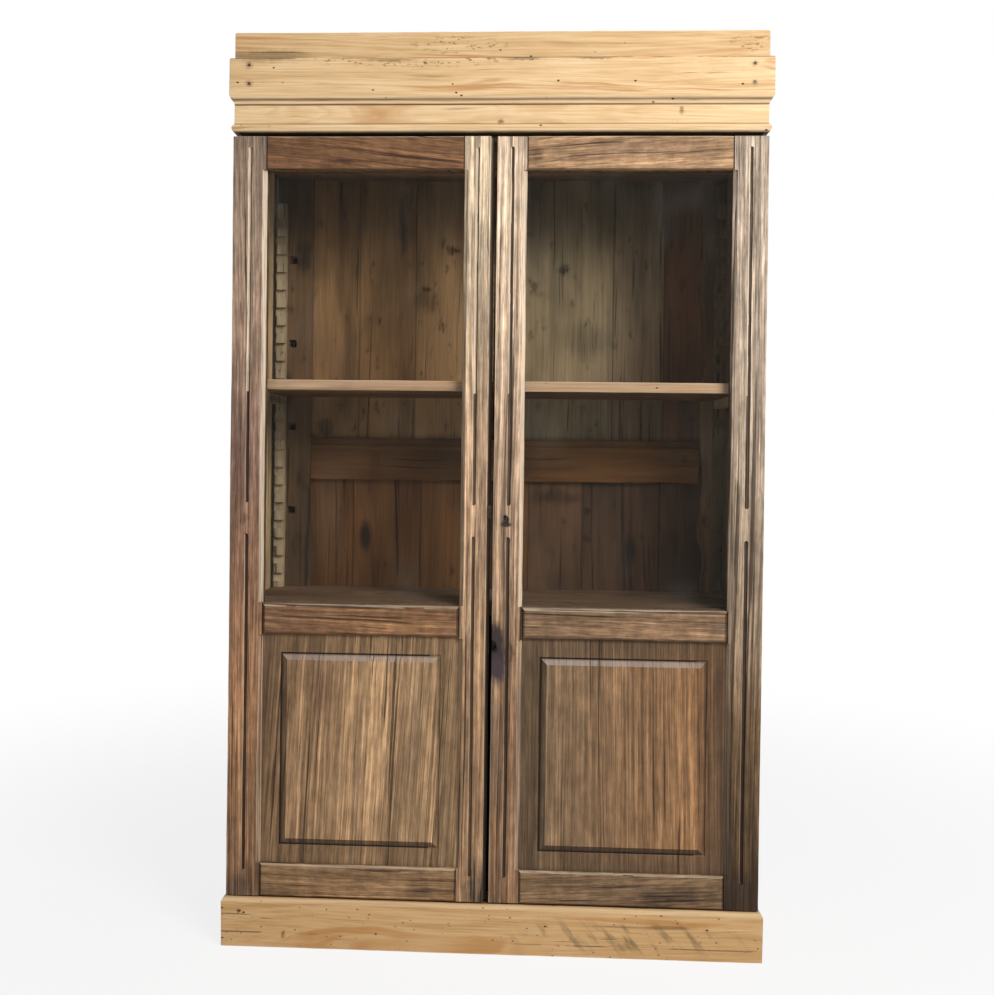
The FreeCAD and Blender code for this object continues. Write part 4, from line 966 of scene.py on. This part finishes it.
for part, (shade, arris) in PINE_BOARDS.items():
    for place, along in (("front", "X"), ("left", "Y"), ("right", "Y")):
        age(f"{part}_{place}", along, golden_pine, shade, arris, PINE_STEP)
age("shelf", "X", golden_pine, SHELF_TONES_AND_UNDERSIDE_SHADE, arris=0.002)
print("with pine", len(made))

# %% [markdown]
# The case is the dark wood. Inside, its left side is paler than outside, a painted highlight, and its right side is
# darker, painted shade. The bottom board stays straight, because the lower bolt of the left door slides into it.

# %% Sides and boards of the case
BOARD_SHADE = "785d48"
# Inner faces: the left one carries a painted highlight, the right one painted shade.
LEFT_SIDE_LIT_INSIDE = ("X", [(-0.655, "96785c"), (-0.635, "cbaa82")])
RIGHT_SIDE_SHADED_INSIDE = ("X", [(0.635, "5f4f3f"), (0.655, "96785c")])

age("left_side", "Z", case_wood, LEFT_SIDE_LIT_INSIDE, arris=0.0025)
age("right_side", "Z", case_wood, RIGHT_SIDE_SHADED_INSIDE, arris=0.0025)
for node in ("top_board", "deck_board", "front_sill", "rear_base_rail"):
    age(node, "X", case_wood, BOARD_SHADE, arris=0.002)
age("bottom_board", "X", case_wood, BOARD_SHADE, arris=0.002, bowing=0.0, denting=0.0)
print("with the case", len(made))

# %% [markdown]
# The planks of the back differ in shade from board to board, and the right post keeps the wavy edge of the
# log that it was sawn from. Racks, cleats and corner blocks are small pieces with fine edges.

# %% Back and racks
PLANKS = {
    "upper_back_planks": ("9a7550", "94704c", "a07c56", "8a775c", "77634d", "6a4a36"),
    "lower_back_planks": ("714b2c", "744d2e", "714b2c", "5d422f", "563d2d", "503829"),
}
SEAM_GROWTH = 0.0005
# The right racks are darker than the left ones: painted shade, as on the inside of the right side.
SMALL_PIECES = {"left_racks": ("Z", "bba588", 0.0008), "right_racks": ("Z", "6a5843", 0.0008),
                "shelf_cleats": ("Y", "a58f74", 0.001), "crown_corner_blocks": ("Z", "9a8263", 0.001)}

for node, shades in PLANKS.items():
    planks = age(node, "Z", case_wood, shades[0], arris=0.0016, boards=shades, marks=seam_marks)
    close_seams(planks, SEAM_GROWTH)
age("back_left_post", "Z", case_wood, "684f39", arris=0.002)
right_post = age("back_right_post", "Z", case_wood, "6d5540", arris=0.002, step=0.012)
wavy_edge(right_post, "X", reach=0.11)
age("back_middle_rail", "X", case_wood, "654223", arris=0.002)
for node, (along, shade, arris) in SMALL_PIECES.items():
    age(node, along, case_wood, shade, arris)
print("with the back", len(made))

# %% [markdown]
# Glass and iron keep their solids and only take a finish.

# %% Glass and iron
PANES = ["left_glass", "right_glass"]
IRON = ["cornice_nails", "pivot_sockets", "left_pivot_pins", "right_pivot_pins", "keeper_plate", "bolt_guides",
        "lock_case", "keyhole_liner", "lock_bolt", "top_bolt", "bottom_bolt"]

for nodes, material in ((PANES, old_glass), (IRON, dark_iron)):
    for node in nodes:
        frame["nodes"][node].data.materials.clear()
        frame["nodes"][node].data.materials.append(material)
print("panes", len(PANES), "iron nodes", len(IRON))

# %% [markdown]
# The cabinet stands on a plain white floor. The camera sees that floor as mostly white with the shadow left
# in, and further out the white takes over, so that floor and sky meet without a line.

# %% Floor
FLOOR_REACH, FLOOR_CORNERS = 14, 96
FADE_REACH, FADE_WHITE = (0.9, 3.5), (0.82, 1.0)
MATT_GREY = (0.86, 0.86, 0.86, 1)

bpy.ops.object.select_all(action="DESELECT")
bpy.ops.mesh.primitive_circle_add(vertices=FLOOR_CORNERS, radius=FLOOR_REACH, fill_type="NGON")
floor = bpy.context.object
floor.name = "plain_floor"
ground = Finish("plain_floor")
white = ground.span(ground.length(ground.place()), *FADE_REACH, *FADE_WHITE)
rays = ground.node("LightPath", {}).outputs
looks = ground.math("MAXIMUM", rays["Is Camera Ray"], rays["Is Glossy Ray"])
looks = ground.math("MAXIMUM", looks, rays["Is Transmission Ray"])
matt = ground.node("BsdfDiffuse", {"Color": MATT_GREY})
shown = ground.node("Emission", {"Color": WHITE, "Strength": 1.0})
surface = ground.node("MixShader", {0: ground.times(white, looks), 1: matt.outputs[0], 2: shown.outputs[0]})
ground.node("OutputMaterial", {"Surface": surface.outputs[0]})
floor.data.materials.append(ground.material)
print("floor", floor.name, "reach", FLOOR_REACH)

# %% [markdown]
# The triangles of the dressed pieces are counted.

# %% Triangle count and the end
print("triangles", sum(len(o.data.loop_triangles) or sum(len(f.vertices) - 2 for f in o.data.polygons) for o in made))
